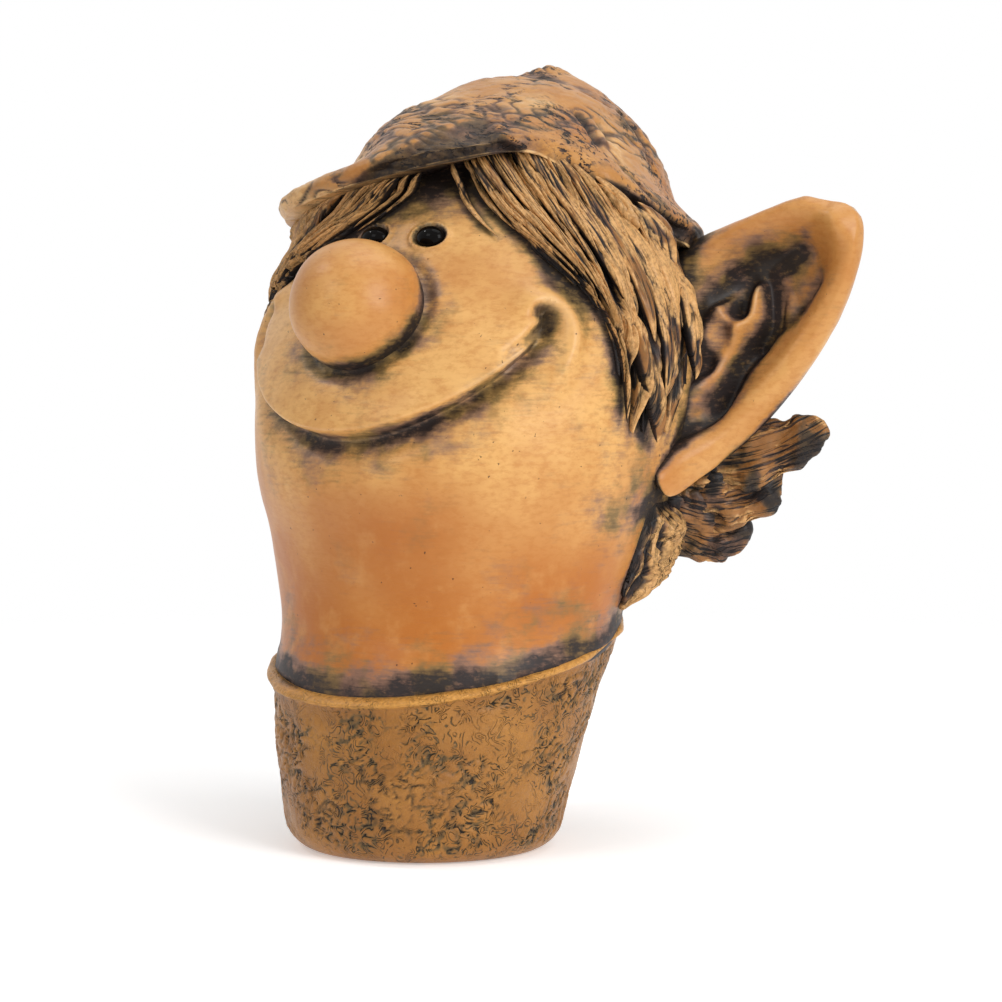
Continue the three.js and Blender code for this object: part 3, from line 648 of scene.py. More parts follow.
# %% Ear mesh
EAR_COLUMNS = 220
EAR_RINGS = 150
EAR_PIN_COVER = 3  # leaf kept in front of the pin's middle
EAR_PIN_END = (0.16, 0.28)
EAR_ROOT_WASH = (0.02, 0.08)
EAR_LUMPS = [(0.4, 15, 8), (0.14, 5, 9)]
EAR_GROOVES = [  # path of along and across, depth, half width, wash
    ([(0.0, 0.34), (0.12, 0.44), (0.22, 0.54), (0.32, 0.62), (0.48, 0.6), (0.66, 0.45)], 6.5, 3, 1),
    ([(0.34, 0.57), (0.42, 0.54), (0.5, 0.5), (0.58, 0.44)], 3.5, 4.2, 0.8),
    ([(0.34, 0.56), (0.32, 0.42), (0.3, 0.3)], 5, 2.4, 0.95),
    ([(0.46, 0.5), (0.46, 0.23), (0.44, 0.02), (0.39, -0.08)], 5.5, 2.6, 1),
    ([(0.39, -0.08), (0.31, -0.19), (0.27, -0.34), (0.24, -0.49), (0.16, -0.52), (0.03, -0.47)], 5.5, 2.8, 1),
    ([(0.02, 0.1), (0.08, 0.04), (0.14, 0.01)], 5, 4, 0.95),
    ([(0.5, 0.3), (0.62, 0.12), (0.74, 0.06)], 2.2, 7, 0.25),
    ([(0.5, -0.12), (0.6, -0.2), (0.72, -0.12)], 2, 3, 0.45),
]
EAR_RIDGES = [  # path, height, half width
    ([(0.41, 0.4), (0.39, 0.14), (0.3, -0.02), (0.22, -0.2), (0.12, -0.2), (0.04, -0.14)], 3, 3),
    ([(0.14, 0.46), (0.23, 0.37), (0.3, 0.14)], 2.6, 2.8),
    ([(0.0, 0.72), (0.2, 0.8), (0.4, 0.86), (0.66, 0.82), (0.84, 0.6), (0.93, 0.2)], 3.6, 5),
    ([(0.02, -0.8), (0.19, -0.84), (0.36, -0.74), (0.57, -0.62), (0.74, -0.5), (0.9, -0.2)], 4, 6),
]

bm, turn, share = ball(EAR_COLUMNS, EAR_RINGS)
along = np.clip((share - 0.02) / 0.96, 0, 1)
tip = np.clip((along - EAR_TIP_FROM) / (1 - EAR_TIP_FROM), 0, 1)
narrow = np.sqrt(1 - tip**2)
across = np.sin(turn) * narrow
curl = np.sqrt(1 - np.clip(1 - along / EAR_CURL, 0, 1) ** 2)
across = np.where(across < 0, across * mix(0.35, 1, curl), across)
rim = mix(EAR_WEB, EAR_RIM, step(np.abs(across), 0.45, 0.75)) * mix(1, 0.62, along**2)
half = rim / 2 * np.sqrt(1 - np.abs(np.sin(turn)) ** 2.2) * narrow**0.5 * mix(0.6, 1, curl)
middle = ear_middle(along, across) + tip_along * (EAR_TIP_ROUND * tip**2)[:, None]
carved = np.zeros(len(middle))
ear_wash = np.zeros(len(middle))
for stops, depth, width, wash_and_shade in EAR_GROOVES:
    gap, _ = near_path(middle, ear_path(stops))
    carved -= depth * bell(gap, width)
    ear_wash = np.maximum(ear_wash, wash_and_shade * bell(gap, 0.9 * width))
    ear_wash = np.maximum(ear_wash, 0.45 * wash_and_shade * bell(gap, 2.2 * width))
for stops, height, width in EAR_RIDGES:
    gap, _ = near_path(middle, ear_path(stops))
    carved += height * bell(gap, width)
    ear_wash *= 1 - 0.8 * bell(gap, 0.6 * width)
facing = step(np.cos(turn), 0, 0.5)
over_pin = 1 - step(along, *EAR_PIN_END)
room = np.maximum(2 * half - mix(EAR_LEAST, half + EAR_PIN_COVER, over_pin), 0.05)
carved = facing * np.where(carved < 0, -room * np.tanh(-carved / room), carved)
faced = np.where(np.cos(turn) > 0, half, -half) - EAR_BACK * (1 - across**2) * (1 - over_pin)
ear_wash *= mix(0.75, 1, step(lumps(middle, 5, 19), -0.3, 0.3))
ear_wash = np.maximum(ear_wash, 1 - step(along, *EAR_ROOT_WASH))
points = middle + ear_front * (faced + carved)[:, None]
front_room = np.where(np.cos(turn) > 0, np.minimum(2 * half, EAR_LEAST), 0)
points[:, 1] = np.minimum(points[:, 1], SEAT_Y - front_room)

left_ear = bm
place(left_ear, points)
push(left_ear, uneven(points, EAR_LUMPS))
right_ear = left_ear.copy()
bmesh.ops.scale(right_ear, vec=(-1, 1, 1), verts=right_ear.verts)
for side, form in (("left", left_ear), ("right", right_ear)):
    keep(f"{side}_ear_leaf", form, f"{side}_ear", "skin_bronze")
    painted[f"{side}_ear_leaf"] = facing * ear_wash

# %% [markdown]
# ## Cap
#
# The cap is a soft leather cap with a rolled brim, which juts out over one temple. Its dome tapers
# to a knob a little behind the crown. The leather is worn: it is lumpy, scratched and gouged.

# %% Cap form
CAP_TOP_Z = 201
CAP_TOP_BACK = 16
CAP_DOME_Z = 161.5
CAP_DOME_R = 49.5
CAP_WALL = 4
BOND_GAP = 0.45
CAP_SWELL = 7
CAP_SWELL_TURN = math.radians(-50)
CAP_SWELL_Z = 188
CAP_SWELL_RISE = 10
CAP_FOLD = 1.1
CAP_FOLDS = 5
CAP_FOLD_SLANT = 4
CAP_BRIM = 4.5
CAP_ROLL_Z = 5
CAP_ROLL_RISE = 6
CAP_TUCK = 2.5
CAP_TUCK_RISE = 4
CAP_VISOR = 9.5
CAP_VISOR_Z = 3.5
CAP_VISOR_THICK = 3
CAP_VISOR_FLAT = 0.5  # share of the roll that the visor takes away
CAP_BULGES = [  # degrees and half width, share of the way up and half height, swell in mm
    (125, 35, 0.4, 0.2, 1.6), (-40, 40, 0.74, 0.12, 3.2), (-48, 20, 0.2, 0.08, -2),
]
CAP_VISOR_TURN = math.radians(-60)
CAP_VISOR_WIDTH = math.radians(32)
CAP_BUMP = 3.8
CAP_BUMP_R = 6.5
CAP_BUMP_BACK = 5
CAP_EDGE = [
    (-180, 150), (-130, 152), (-90, 157), (-60, 161.5), (-20, 169.5),
    (20, 175.5), (50, 177.5), (75, 167), (95, 158), (130, 152), (180, 150),
]  # degrees round the head and height of the lower edge


def cap_edge(turn):
    return through(CAP_EDGE, np.degrees(turn))


def cap_spot(turn, share):
    edge = cap_edge(turn)
    z = mix(edge, CAP_TOP_Z, np.sin(share * math.pi / 2))
    above = z - edge
    climb = above / (CAP_TOP_Z - edge)
    on_head = head_reach(turn, np.minimum(z, CROWN_Z - 0.5)) + BOND_GAP + CAP_WALL
    dome = CAP_DOME_R * np.sqrt(np.maximum(CAP_TOP_Z - z, 0) / (CAP_TOP_Z - CAP_DOME_Z))
    swell = CAP_SWELL * bell(z - CAP_SWELL_Z, CAP_SWELL_RISE) * (1 + np.cos(turn - CAP_SWELL_TURN)) / 2
    fold = CAP_FOLD * np.sin(CAP_FOLDS * turn + CAP_FOLD_SLANT * climb) * np.sin(math.pi * climb)
    at_visor = bell(turn - CAP_VISOR_TURN, CAP_VISOR_WIDTH)
    thick = np.where(above > CAP_VISOR_Z, CAP_VISOR_THICK, CAP_ROLL_RISE)
    visor = CAP_VISOR * at_visor * bell(above - CAP_VISOR_Z, thick)
    roll = CAP_BRIM * bell(above - CAP_ROLL_Z, CAP_ROLL_RISE) * (1 - CAP_VISOR_FLAT * at_visor)
    brim = roll + visor - CAP_TUCK * bell(above, CAP_TUCK_RISE)
    for degrees, wide, middle, rise, height in CAP_BULGES:
        brim = brim + height * bell(np.degrees(turn) - degrees, wide) * bell(share - middle, rise)
    reach = np.maximum(dome + swell + fold, np.where(z < CROWN_Z - 0.5, on_head, 0)) + brim
    reach = np.where(share > 1 - 1e-6, 0, reach)
    back = lean(z) + CAP_TOP_BACK * climb**1.5
    spot = np.stack([reach * np.sin(turn), back - reach * np.cos(turn), z], 1)
    peak_y = lean(CAP_TOP_Z) + CAP_TOP_BACK + CAP_BUMP_BACK
    spot[:, 2] += CAP_BUMP * bell(np.hypot(spot[:, 0], spot[:, 1] - peak_y), CAP_BUMP_R)
    return spot


# %% Cap mesh
CAP_COLUMNS = 340
CAP_RINGS = 190
CAP_INSIDE = 0.12
# How far up the brim is hollow round the head; the hollow is painted in shade.
CAP_HOLLOW = [
    (-180, 0), (-90, 0), (-50, 0), (-29, 0), (-14, 0.06), (0, 0.16), (10, 0.25), (18, 0.29), (27, 0.26),
    (37, 0.14), (48, 0), (75, 0), (86, 0.04), (95, 0.09), (106, 0.06), (115, 0), (180, 0),
]  # degrees round the head and share of the way up to which the brim is hollow
CAP_STAINS = [  # degrees and half width, share of the way up and half height, share of wash
    (18, 26, 0.3, 0.12, 0.75), (62, 16, 0.2, 0.16, 0.4), (104, 14, 0.5, 0.25, 0.65),
    (45, 26, 0.62, 0.1, 0.45), (-8, 10, 0.2, 0.1, 0.5), (75, 12, 0.75, 0.12, 0.55),
    (-72, 14, 0.03, 0.05, 0.7), (150, 30, 0.3, 0.25, 0.5), (-130, 35, 0.35, 0.25, 0.5),
    (92, 8, 0.16, 0.1, 0.6),
]
# Pale patches on the cap: scuffs, and on the brim in front painted highlights.
CAP_SCUFFS_AND_HIGHLIGHTS = [  # degrees and half width, share of the way up and half height, share of rubbing
    (-42, 16, 0.14, 0.12, 0.9), (-50, 26, 0.02, 0.05, 0.8), (40, 20, 0.4, 0.1, 0.45),
    (82, 10, 0.3, 0.16, 0.5), (-20, 25, 0.55, 0.12, 0.35), (5, 30, 0.72, 0.08, 0.3),
]
CAP_SINK = 2.6
CAP_LUMPS = [(1.1, 14, 10), (0.35, 6, 13), (0.2, 2.4, 14)]
CAP_STROKE_DEPTH = 1.3
CAP_STROKE_WASH = 2.8
CAP_GRAIN = np.array([[0.9, 0.3, 0], [-0.2, 0.5, 0.3], [0, 0.2, 1]])  # the strokes run aslant
CAP_GOUGES = [  # degrees and share of the way up at both ends, depth, half width
    (68, 0.42, 74, 0.26, 1.8, 1.5), (71, 0.4, 77, 0.28, -0.9, 1.3), (78, 0.4, 82, 0.33, 1.2, 1.2),
    (107, 0.55, 108, 0.47, 1.6, 1.2), (110, 0.44, 111, 0.39, 1.6, 1.2), (109, 0.33, 110, 0.28, 1.4, 1.1),
    (103, 0.17, 104, 0.13, 1.2, 1), (86, 0.66, 98, 0.6, 1.3, 1.5), (58, 0.72, 66, 0.62, 0.9, 1.2),
    (80, 0.2, 90, 0.12, 1.1, 1.3), (-64, 0.5, -52, 0.42, 0.9, 1.4), (150, 0.5, 160, 0.4, 1.4, 1.6),
    (-120, 0.45, -110, 0.35, 1.4, 1.6), (80, 0.02, 104, 0.03, 2.6, 4),
]

bm, turn, share = ball(CAP_COLUMNS, CAP_RINGS)
inside = share < CAP_INSIDE
down = np.clip(share / CAP_INSIDE, 0, 1)
inner_z = mix(CROWN_Z - 3, cap_edge(turn), down)
inner = head_spot(turn, inner_z, np.where(share < 1e-6, -100, -0.5))
inner[share < 1e-6] = (0, lean(CROWN_Z - 3), CROWN_Z - 4)
climb = np.clip((share - CAP_INSIDE) / (1 - CAP_INSIDE), 0, 1) ** 1.25
points = np.where(inside[:, None], inner, cap_spot(turn, climb))
place(bm, points)
outside = step(share, CAP_INSIDE, CAP_INSIDE + 0.03)
slanted = points @ CAP_GRAIN
brushing = step(lumps(points, 17, 12), -0.2, 0.2)
strokes = (0.3 - np.abs(lumps(slanted * (0.3, 1, 1), 3, 11))).clip(0) * brushing
leather = uneven(points, CAP_LUMPS) - CAP_STROKE_DEPTH * strokes
degrees = np.degrees(turn)
hollow = through(CAP_HOLLOW, degrees) + 0.02 * lumps(points, 6, 15)
hatched = 0.5 + 0.5 * lumps(slanted * (0.25, 1, 1), 1.6, 17)
hollow_shade = step(hollow, 0, 0.03) * (1 - step(climb, hollow - 0.08, hollow + 0.06))
# The cap's inside and the brim's hollow are painted dark, broken by hatching: painted shade.
cap_wash_and_shade = np.where(inside, 1, hollow_shade * mix(0.45, 1, hatched))
cloudy = step(lumps(points, 9, 16), -0.3, 0.5) * mix(0.4, 1, hatched)
cap_wash_and_shade = np.maximum(cap_wash_and_shade, 0.6 * (1 - step(climb, hollow, hollow + 0.3)) * cloudy)
cap_wash_and_shade = np.maximum(cap_wash_and_shade, CAP_STROKE_WASH * strokes)
for at, wide, up, rise, share_of_wash in CAP_STAINS:
    stain = share_of_wash * bell((degrees - at) / wide, 1) * bell((climb - up) / rise, 1)
    cap_wash_and_shade = np.maximum(cap_wash_and_shade, np.where(inside, 1, stain * mix(0.2, 1, step(hatched, 0.35, 0.65))))
leather -= CAP_SINK * step(hollow, 0, 0.03) * (1 - step(climb, hollow - 0.08, hollow + 0.04))
cap_wash_and_shade = np.maximum(cap_wash_and_shade, 0.7 * step(-leather, 0.2, 1.2))
# Paler where the leather is raised and rubbed, and in the scuffs and the painted highlights below.
cap_rub_and_highlight = 0.6 * step(leather, 0.35, 1.3)
for at, wide, up, rise, share_of_rub in CAP_SCUFFS_AND_HIGHLIGHTS:
    scuff_and_highlight = share_of_rub * bell((degrees - at) / wide, 1) * bell((climb - up) / rise, 1)
    cap_rub_and_highlight = np.maximum(cap_rub_and_highlight, scuff_and_highlight * mix(0.4, 1.2, hatched))
cap_rub_and_highlight = np.where(inside, 0, cap_rub_and_highlight * (1 - np.minimum(cap_wash_and_shade, 1)))
for a, low, b, high, depth, width in CAP_GOUGES:
    gouge = cap_spot(np.radians(np.linspace(a, b, 8)), np.linspace(low, high, 8))
    gap, _ = near_path(points, gouge)
    leather -= depth * bell(gap, width)
    cap_wash_and_shade = np.maximum(cap_wash_and_shade, np.sign(depth) * bell(gap, width))
push(bm, outside * leather)
store(bm, "ink_and_shade", cap_wash_and_shade)
store(bm, "rub_and_highlight", cap_rub_and_highlight)
bmesh.ops.triangle_fill(bm, edges=cut_back(bm, SEAT_Y), use_beauty=True)
cap = keep("cap_leather", bm, "cap", "cap_bronze")
cap.data.set_sharp_from_angle(angle=SHARP)
painted["cap_leather"], rubs_and_highlights["cap_leather"] = stored(cap, "ink_and_shade"), stored(cap, "rub_and_highlight")

# %% [markdown]
# ## Hair
#
# The hair was combed in clay: a thick mat whose strands run from the cap down to ragged ends, with
# locks laid over it. Both are balls drawn out along flow lines on the head, so they are closed and
# thin out at their ends. The comb's grooves are pressed into them in three sizes: between locks,
# between strands, and as fine scratches. The dark of each groove is kept as ink for the wash, and
# so is painted shade along the edges of the mats and under the locks.

# %% Hair form
TEMPLE_FLOW = {  # share across, start degrees, then degrees and height of the bend and of the end
    "left": [
        (-0.2, 14, 23, 164.5, 31, 157.5),
        (0, 26, 45, 160.5, 60.5, 145),
        (0.3, 42, 63, 154.5, 71, 132.5),
        (0.55, 58, 75, 148.5, 78, 112.5),
        (0.8, 76, 92, 143.5, 91, 106.5),
        (1, 98, 107, 135.5, 103, 111.5),
    ],
    "right": [
        (-0.2, -4, 8, 164.5, 18, 157.5),
        (0, 8, 24, 159.5, 44, 151.5),
        (0.3, 24, 47, 154.5, 64, 141.5),
        (0.55, 44, 67, 149.5, 78, 119.5),
        (0.8, 68, 88, 143.5, 90, 107.5),
        (1, 98, 107, 135.5, 103, 111.5),
    ],
}
TEMPLE_THICK = {"left": 8, "right": 7.5}
NAPE_FLOW = [
    (0, 121, 121, 120.5, 119, 92.5),
    (0.5, 128, 127, 117.5, 126, 89.5),
    (1, 146, 143, 115.5, 140, 89.5),
]
NECK_FLOW = [
    (0, 102, 103, 77.5, 102, 62.5),
    (0.5, 116, 116, 75.5, 114, 61.5),
    (1, 134, 131, 75.5, 128, 65.5),
]
NECK_HAIR_Z = 88.5
FLOW_MM = 60
HAIR_BACK_Y = SEAT_Y - 0.4  # hair ends just under the flat back


def flow_spot(side, flow, start_z, across, along, lift):
    """Point on the flow lines of one side, lifted off the head."""
    sign = 1 if side == "left" else -1
    column = [through([(row[0], row[k]) for row in flow], across) for k in range(6)]
    first, second, third = (1 - along) ** 2, 2 * along * (1 - along), along**2
    turn = np.radians(first * column[1] + second * column[2] + third * column[4])
    top = start_z(sign * np.radians(column[1]))
    z = first * top + second * column[3] + third * column[5]
    return head_spot(turn, z, lift) * (sign, 1, 1)


def strands(u, v, seed):
    """Relief of combed hair from 0 in the grooves to 1, at u mm across and v mm along the flow."""
    flat = np.stack([u, v, 0 * u], 1)
    wander = u + 3.4 * lumps(flat * (0.5, 0.5, 1), 5, seed) + 0.6 * lumps(flat, 2.5, seed + 5)
    chunk = step(lumps(flat * (1, 0.28, 1), 4.5, seed + 1), -0.14, 0.16)
    strand = np.abs(np.sin(math.pi * wander / 2.2 + 2 * seed)) ** 0.7
    fine = 0.5 + 0.5 * lumps(flat * (1, 0.08, 1), 0.8, seed + 3)
    return 0.5 * chunk + 0.28 * strand + 0.22 * step(fine, 0.25, 0.65)


def set_fields(bm, u, v, seed, ink_and_shade):
    """Stores for each vertex its place on the flow in mm, for the comb lines, and its share of ink, which
    holds painted shade too.
    """
    comb = bm.verts.layers.float_vector.new("comb")
    for vertex, *spot in zip(bm.verts, u, v):
        vertex[comb] = (*spot, 9.0 * seed)
    store(bm, "ink_and_shade", ink_and_shade)


def join(bm_all, bm):
    mesh = bpy.data.meshes.new("lock")
    bm.to_mesh(mesh)
    bm.free()
    bm_all.from_mesh(mesh)
    bpy.data.meshes.remove(mesh)


# %% Mat and locks
HAIR_RECESSES = [  # share across and along, half width and half length
    (0.47, 0.52, 0.045, 0.16), (0.67, 0.62, 0.035, 0.15), (0.5, 0.93, 0.05, 0.09),
    (0.3, 0.78, 0.035, 0.1),
]
MAT_UNDER = 0.8  # the mat's underside lies this deep in the head
MAT_END_LIFT = 1.2
MAT_THINNEST = 0.12  # share of the thickness in a groove
MAT_NOTCH = 0.22  # share of the length between two tips


def mat(bm_all, side, flow, start_z, thick, size, tips, seed, roots):
    """Combed mat over the whole flow. Its end has so many tips, and its roots swell to meet the cap."""
    columns, rows = size
    bm, turn, share = ball(columns, rows)
    on_top = np.abs(turn) <= math.pi / 2
    fold = np.where(on_top, turn, np.sign(turn) * (math.pi - np.abs(turn))) / math.pi
    across = np.clip(fold + 0.5, 0, 1)
    saw = np.abs((across * tips + 0.3 * np.sin(9 * across)) % 1 - 0.5) * 2
    end = 1.02 - MAT_NOTCH * saw**1.5 - 0.06 * np.sin(23 * across + seed)
    along = np.maximum(share, 1 / rows) * end - 0.03
    u, v = FLOW_MM * across, FLOW_MM * along
    relief = strands(u, v, seed)
    for middle, place_along, wide, long in HAIR_RECESSES * bool(roots):
        relief *= 1 - 0.95 * bell(np.hypot((across - middle) / wide, (along - place_along) / long), 1)
    front = mix(0.6, 1, step(across, 0, 0.06)) if roots else mix(0.02, 1, step(across, 0, 0.3))
    edge = front * mix(0.1, 1, step(1 - across, 0, 0.2))
    swell = 1 + roots * (1 - step(along, 0, 0.3)) * step(across, 0.25, 0.45)
    grown = 1 if roots else step(share, 0, 0.3)
    thinned = 1 - step(share, 0.8, 1) * 0.9
    depth = thick * mix(MAT_THINNEST, 1, relief) * edge * swell * grown * thinned
    last = share > 1 - 1.5 / rows
    lift = np.where(on_top & ~last, depth, np.where(last, 0.4, -MAT_UNDER))
    ragged = across - 0.03 * np.abs(np.sin(14 * along)) * (1 - step(across, 0, 0.12))
    points = flow_spot(side, flow, start_z, ragged, along, lift + MAT_END_LIFT * share**3)
    points[:, 1] = np.minimum(points[:, 1], HAIR_BACK_Y)
    place(bm, points)
    ink_and_shade = (1 - step(relief, 0.35, 0.85)) * (1 - 0.6 * step(across, 0.8, 1))
    # Dark along the edges of the mat: painted shade.
    border_shade = step(across, 0.9, 0.96) if roots else 1 - step(np.minimum(across, share), 0.03, 0.16)
    set_fields(bm, u, v, seed, np.maximum(ink_and_shade, border_shade))
    pole = max(bm.verts, key=lambda vertex: share[vertex.index])
    bmesh.ops.delete(bm, geom=[pole], context="VERTS")
    bmesh.ops.remove_doubles(bm, verts=bm.verts, dist=2e-6)
    join(bm_all, bm)


LOCK_COLUMNS = 40
LOCK_RINGS = 52
LOCK_OVER_BRIM = 5
LOCK_UNDER = 1.2
LOCK_SWAY = 0.25  # share of its half width
LOCK_RISE = 0.25  # share of its lift that it gains to its end
LOCK_PROBE = 0.02  # share of the lock over which its direction is taken


def lock(bm_all, side, flow, start_z, stops, half, thick, base, seed):
    """One lock along stops of across and along; half its width, thickness and lift are in mm."""
    bm, turn, share = ball(LOCK_COLUMNS, LOCK_RINGS)
    places = np.linspace(0, 1, len(stops))
    paths = [list(zip(places, column)) for column in zip(*stops)]
    u, v = [FLOW_MM * through(path, share) for path in paths]
    ahead = np.clip(share + LOCK_PROBE, 0, 1)
    behind = np.clip(share - LOCK_PROBE, 0, 1)
    run = np.stack([through(path, ahead) - through(path, behind) for path in paths], 1)
    run = run / np.maximum(np.linalg.norm(run, axis=1), 1e-6)[:, None]
    taper = step(share, -0.12, 0.14) * (1 - share**4) ** 0.8
    taper = np.where(share < 1e-6, 0, taper)
    x = np.sin(turn)
    on_top = np.cos(turn)
    wide = half * taper * x + LOCK_SWAY * half * np.sin(5 * share + seed) * taper
    u, v = u + run[:, 1] * wide, v - run[:, 0] * wide
    relief = strands(u + 3 * seed, v, seed % 7)
    high = thick * taper * np.abs(on_top) ** 0.6 * (0.4 + 0.6 * relief)
    over_brim = LOCK_OVER_BRIM * (1 - step(share, 0, 0.4)) * (stops[0][1] < 0)
    lift = base * (1 + LOCK_RISE * share) + over_brim + np.where(on_top > 0, high, -LOCK_UNDER * taper)
    points = flow_spot(side, flow, start_z, u / FLOW_MM, v / FLOW_MM, lift)
    points[:, 1] = np.minimum(points[:, 1], HAIR_BACK_Y)
    place(bm, points)
    # The underside of a lock is fully inked: painted shade under the lock.
    set_fields(bm, u, v, seed, mix(1, 1 - step(relief, 0.15, 0.55), step(on_top, 0.05, 0.4)))
    join(bm_all, bm)


HAIR_LEAST_WASH = 0.12


def keep_hair(name, bm, node):
    piece = keep(name, bm, node, "hair_bronze")
    painted[name] = mix(HAIR_LEAST_WASH, 1, stored(piece, "ink_and_shade"))


# %% Temple hair
TEMPLE_LOCKS = [  # stops of across and along, half width, thickness and lift in mm
    ([(0.0, -0.02), (0.01, 0.3), (0.03, 0.62), (0.06, 0.93)], 2.2, 3.2, 2.6),
    ([(0.06, -0.1), (0.1, 0.3), (0.16, 0.55), (0.24, 0.68)], 2.4, 3, 3.6),
    ([(0.2, -0.12), (0.24, 0.25), (0.27, 0.5), (0.3, 0.78)], 2.6, 2.6, 4),
    ([(0.42, -0.12), (0.48, 0.2), (0.53, 0.42), (0.56, 0.62)], 3.6, 3.4, 4.4),
    ([(0.6, -0.12), (0.64, 0.2), (0.66, 0.45), (0.66, 0.7)], 3, 2.8, 4.6),
    ([(0.86, -0.02), (0.85, 0.25), (0.82, 0.52), (0.78, 0.8)], 3.6, 3.2, 3.6),
    ([(0.74, 0.1), (0.75, 0.4), (0.74, 0.65), (0.72, 0.9)], 2.2, 2.4, 4.6),
    ([(0.54, 0.6), (0.62, 0.76), (0.7, 0.9), (0.76, 1.02)], 3, 4, 3.4),
    ([(0.1, 0.9), (0.22, 0.98), (0.36, 0.99), (0.42, 1.04)], 1.2, 2, 2.4),
    ([(0.35, 0.62), (0.42, 0.8), (0.5, 0.92), (0.55, 1.03)], 2, 2.4, 2),
    ([(-0.16, -0.02), (-0.17, 0.4), (-0.12, 0.8)], 1.2, 1.8, 1),
    ([(-0.06, -0.04), (-0.06, 0.3), (-0.03, 0.6)], 1.4, 2, 1.4),
    ([(0.32, -0.13), (0.36, 0.15), (0.42, 0.4), (0.45, 0.6)], 2.6, 2.8, 4.2),
    ([(0.5, -0.12), (0.58, 0.15), (0.6, 0.35), (0.6, 0.5)], 2.4, 2.6, 4.6),
    ([(0.13, -0.12), (0.17, 0.15), (0.2, 0.4), (0.22, 0.6)], 2, 2.6, 4),
    ([(0.7, -0.12), (0.73, 0.15), (0.74, 0.4), (0.73, 0.6)], 2.8, 2.8, 4.4),
    ([(0.8, -0.12), (0.83, 0.12), (0.84, 0.35), (0.82, 0.55)], 2.8, 2.8, 4.2),
    ([(0.91, -0.1), (0.92, 0.15), (0.9, 0.4), (0.87, 0.6)], 2.6, 2.8, 3.6),
]
MAT_SIZE = (330, 100)
MAT_SHARE = 0.8  # of the hair's thickness; the locks add the rest
ROOT_SWELL = 0.8
HAIR_TIPS = 9

rng = np.random.default_rng(11)
loose_locks = []
for first in np.linspace(0.04, 0.94, 15):
    across, along = first + rng.uniform(-0.03, 0.03), rng.uniform(0, 0.45)
    drift, run = rng.uniform(-0.03, 0.06), rng.uniform(0.3, 0.55)
    stops = [(across + drift * k * k, along + run * k) for k in (0, 0.35, 0.7, 1)]
    loose_locks.append((stops, rng.uniform(1.3, 2.4), rng.uniform(2.2, 3.4), rng.uniform(3.4, 5)))

for side, seed in (("left", 2), ("right", 4)):
    bm_all = bmesh.new()
    thick = TEMPLE_THICK[side]
    flow = TEMPLE_FLOW[side]
    share = thick / TEMPLE_THICK["left"]
    mat(bm_all, side, flow, cap_edge, MAT_SHARE * thick, MAT_SIZE, HAIR_TIPS, seed, ROOT_SWELL)
    for number, (stops, half, high, base) in enumerate(TEMPLE_LOCKS + loose_locks):
        lock(bm_all, side, flow, cap_edge, stops, half, share * high, share * base, number + seed)
    keep_hair(f"{side}_temple_locks", bm_all, f"{side}_temple_hair")

# %% Nape hair and neck locks
def under_nape(turn):
    return np.full(np.shape(turn), NECK_HAIR_Z)


BACK_SIZE = (140, 60)
BACK_SHARE = 0.9
BACK_TIPS = 5
BACK_SEED = 6

for side in ("left", "right"):
    for word, flow, start, thick in (
        ("nape_hair", NAPE_FLOW, cap_edge, 6), ("neck_lock", NECK_FLOW, under_nape, 9),
    ):
        bm_all = bmesh.new()
        mat(bm_all, side, flow, start, BACK_SHARE * thick, BACK_SIZE, BACK_TIPS, BACK_SEED, 0)
        keep_hair(f"{side}_{word}_strands", bm_all, f"{side}_{word}")

# %% Flicked locks behind the ears
FLICK_THICK = 9
FLICK_WIDTH = 21
FLICKS = [  # root, bend and tip
    [(44, 45, 101), (68, 57, 96), (84, 60, 110)],
    [(44, 44, 92), (61, 57, 87), (71, 60, 96)],
    [(42, 42, 87), (55, 56, 78), (60, 59, 82)],
]
FLICK_COLUMNS = 100
FLICK_RINGS = 70
FLICK_LEAST = 0.75  # share of its thickness in a groove
FLICK_PIT = 2.8
FLICK_PIT_MM = 8
FLICK_GRIT = 0.7
FLICK_GRIT_MM = 3

for number, stops in enumerate(FLICKS, 1):
    start, pull, end = np.array(stops, float)
    bm, turn, share = ball(FLICK_COLUMNS, FLICK_RINGS)
    path = bow(start, pull, end, share)
    run = 2 * (1 - share)[:, None] * (pull - start) + 2 * share[:, None] * (end - pull)
    out = np.array([0, 1, 0])
    across = np.cross(run, out)
    across = across / np.linalg.norm(across, axis=1)[:, None]
    body = np.sin(math.pi * share**0.75) ** 0.5
    u, v = FLICK_WIDTH / 2 * np.sin(turn) * body, 2 * FLICK_WIDTH * share
    relief = strands(u, v, number)
    groove = FLICK_LEAST + (1 - FLICK_LEAST) * relief
    points = path + across * (np.sin(turn) * body * groove * FLICK_WIDTH / 2)[:, None]
    points = points - out * (np.cos(turn) * body * groove * FLICK_THICK / 2)[:, None]
    points[:, 1] = np.minimum(points[:, 1], HAIR_BACK_Y)
    place(bm, points)
    pits = lumps(points, FLICK_PIT_MM, 20 + number)
    push(bm, FLICK_PIT * pits + FLICK_GRIT * lumps(points, FLICK_GRIT_MM, 30 + number))
    set_fields(bm, u, v, number, np.maximum(0.8 - step(relief, 0.1, 0.5), 0.9 - step(pits, -0.45, 0)))
    mirrored = bm.copy()
    bmesh.ops.scale(mirrored, vec=(-1, 1, 1), verts=mirrored.verts)
    for side, form in (("left", bm), ("right", mirrored)):
        keep_hair(f"{side}_flick_lock_{number}", form, f"{side}_flick_{number}")

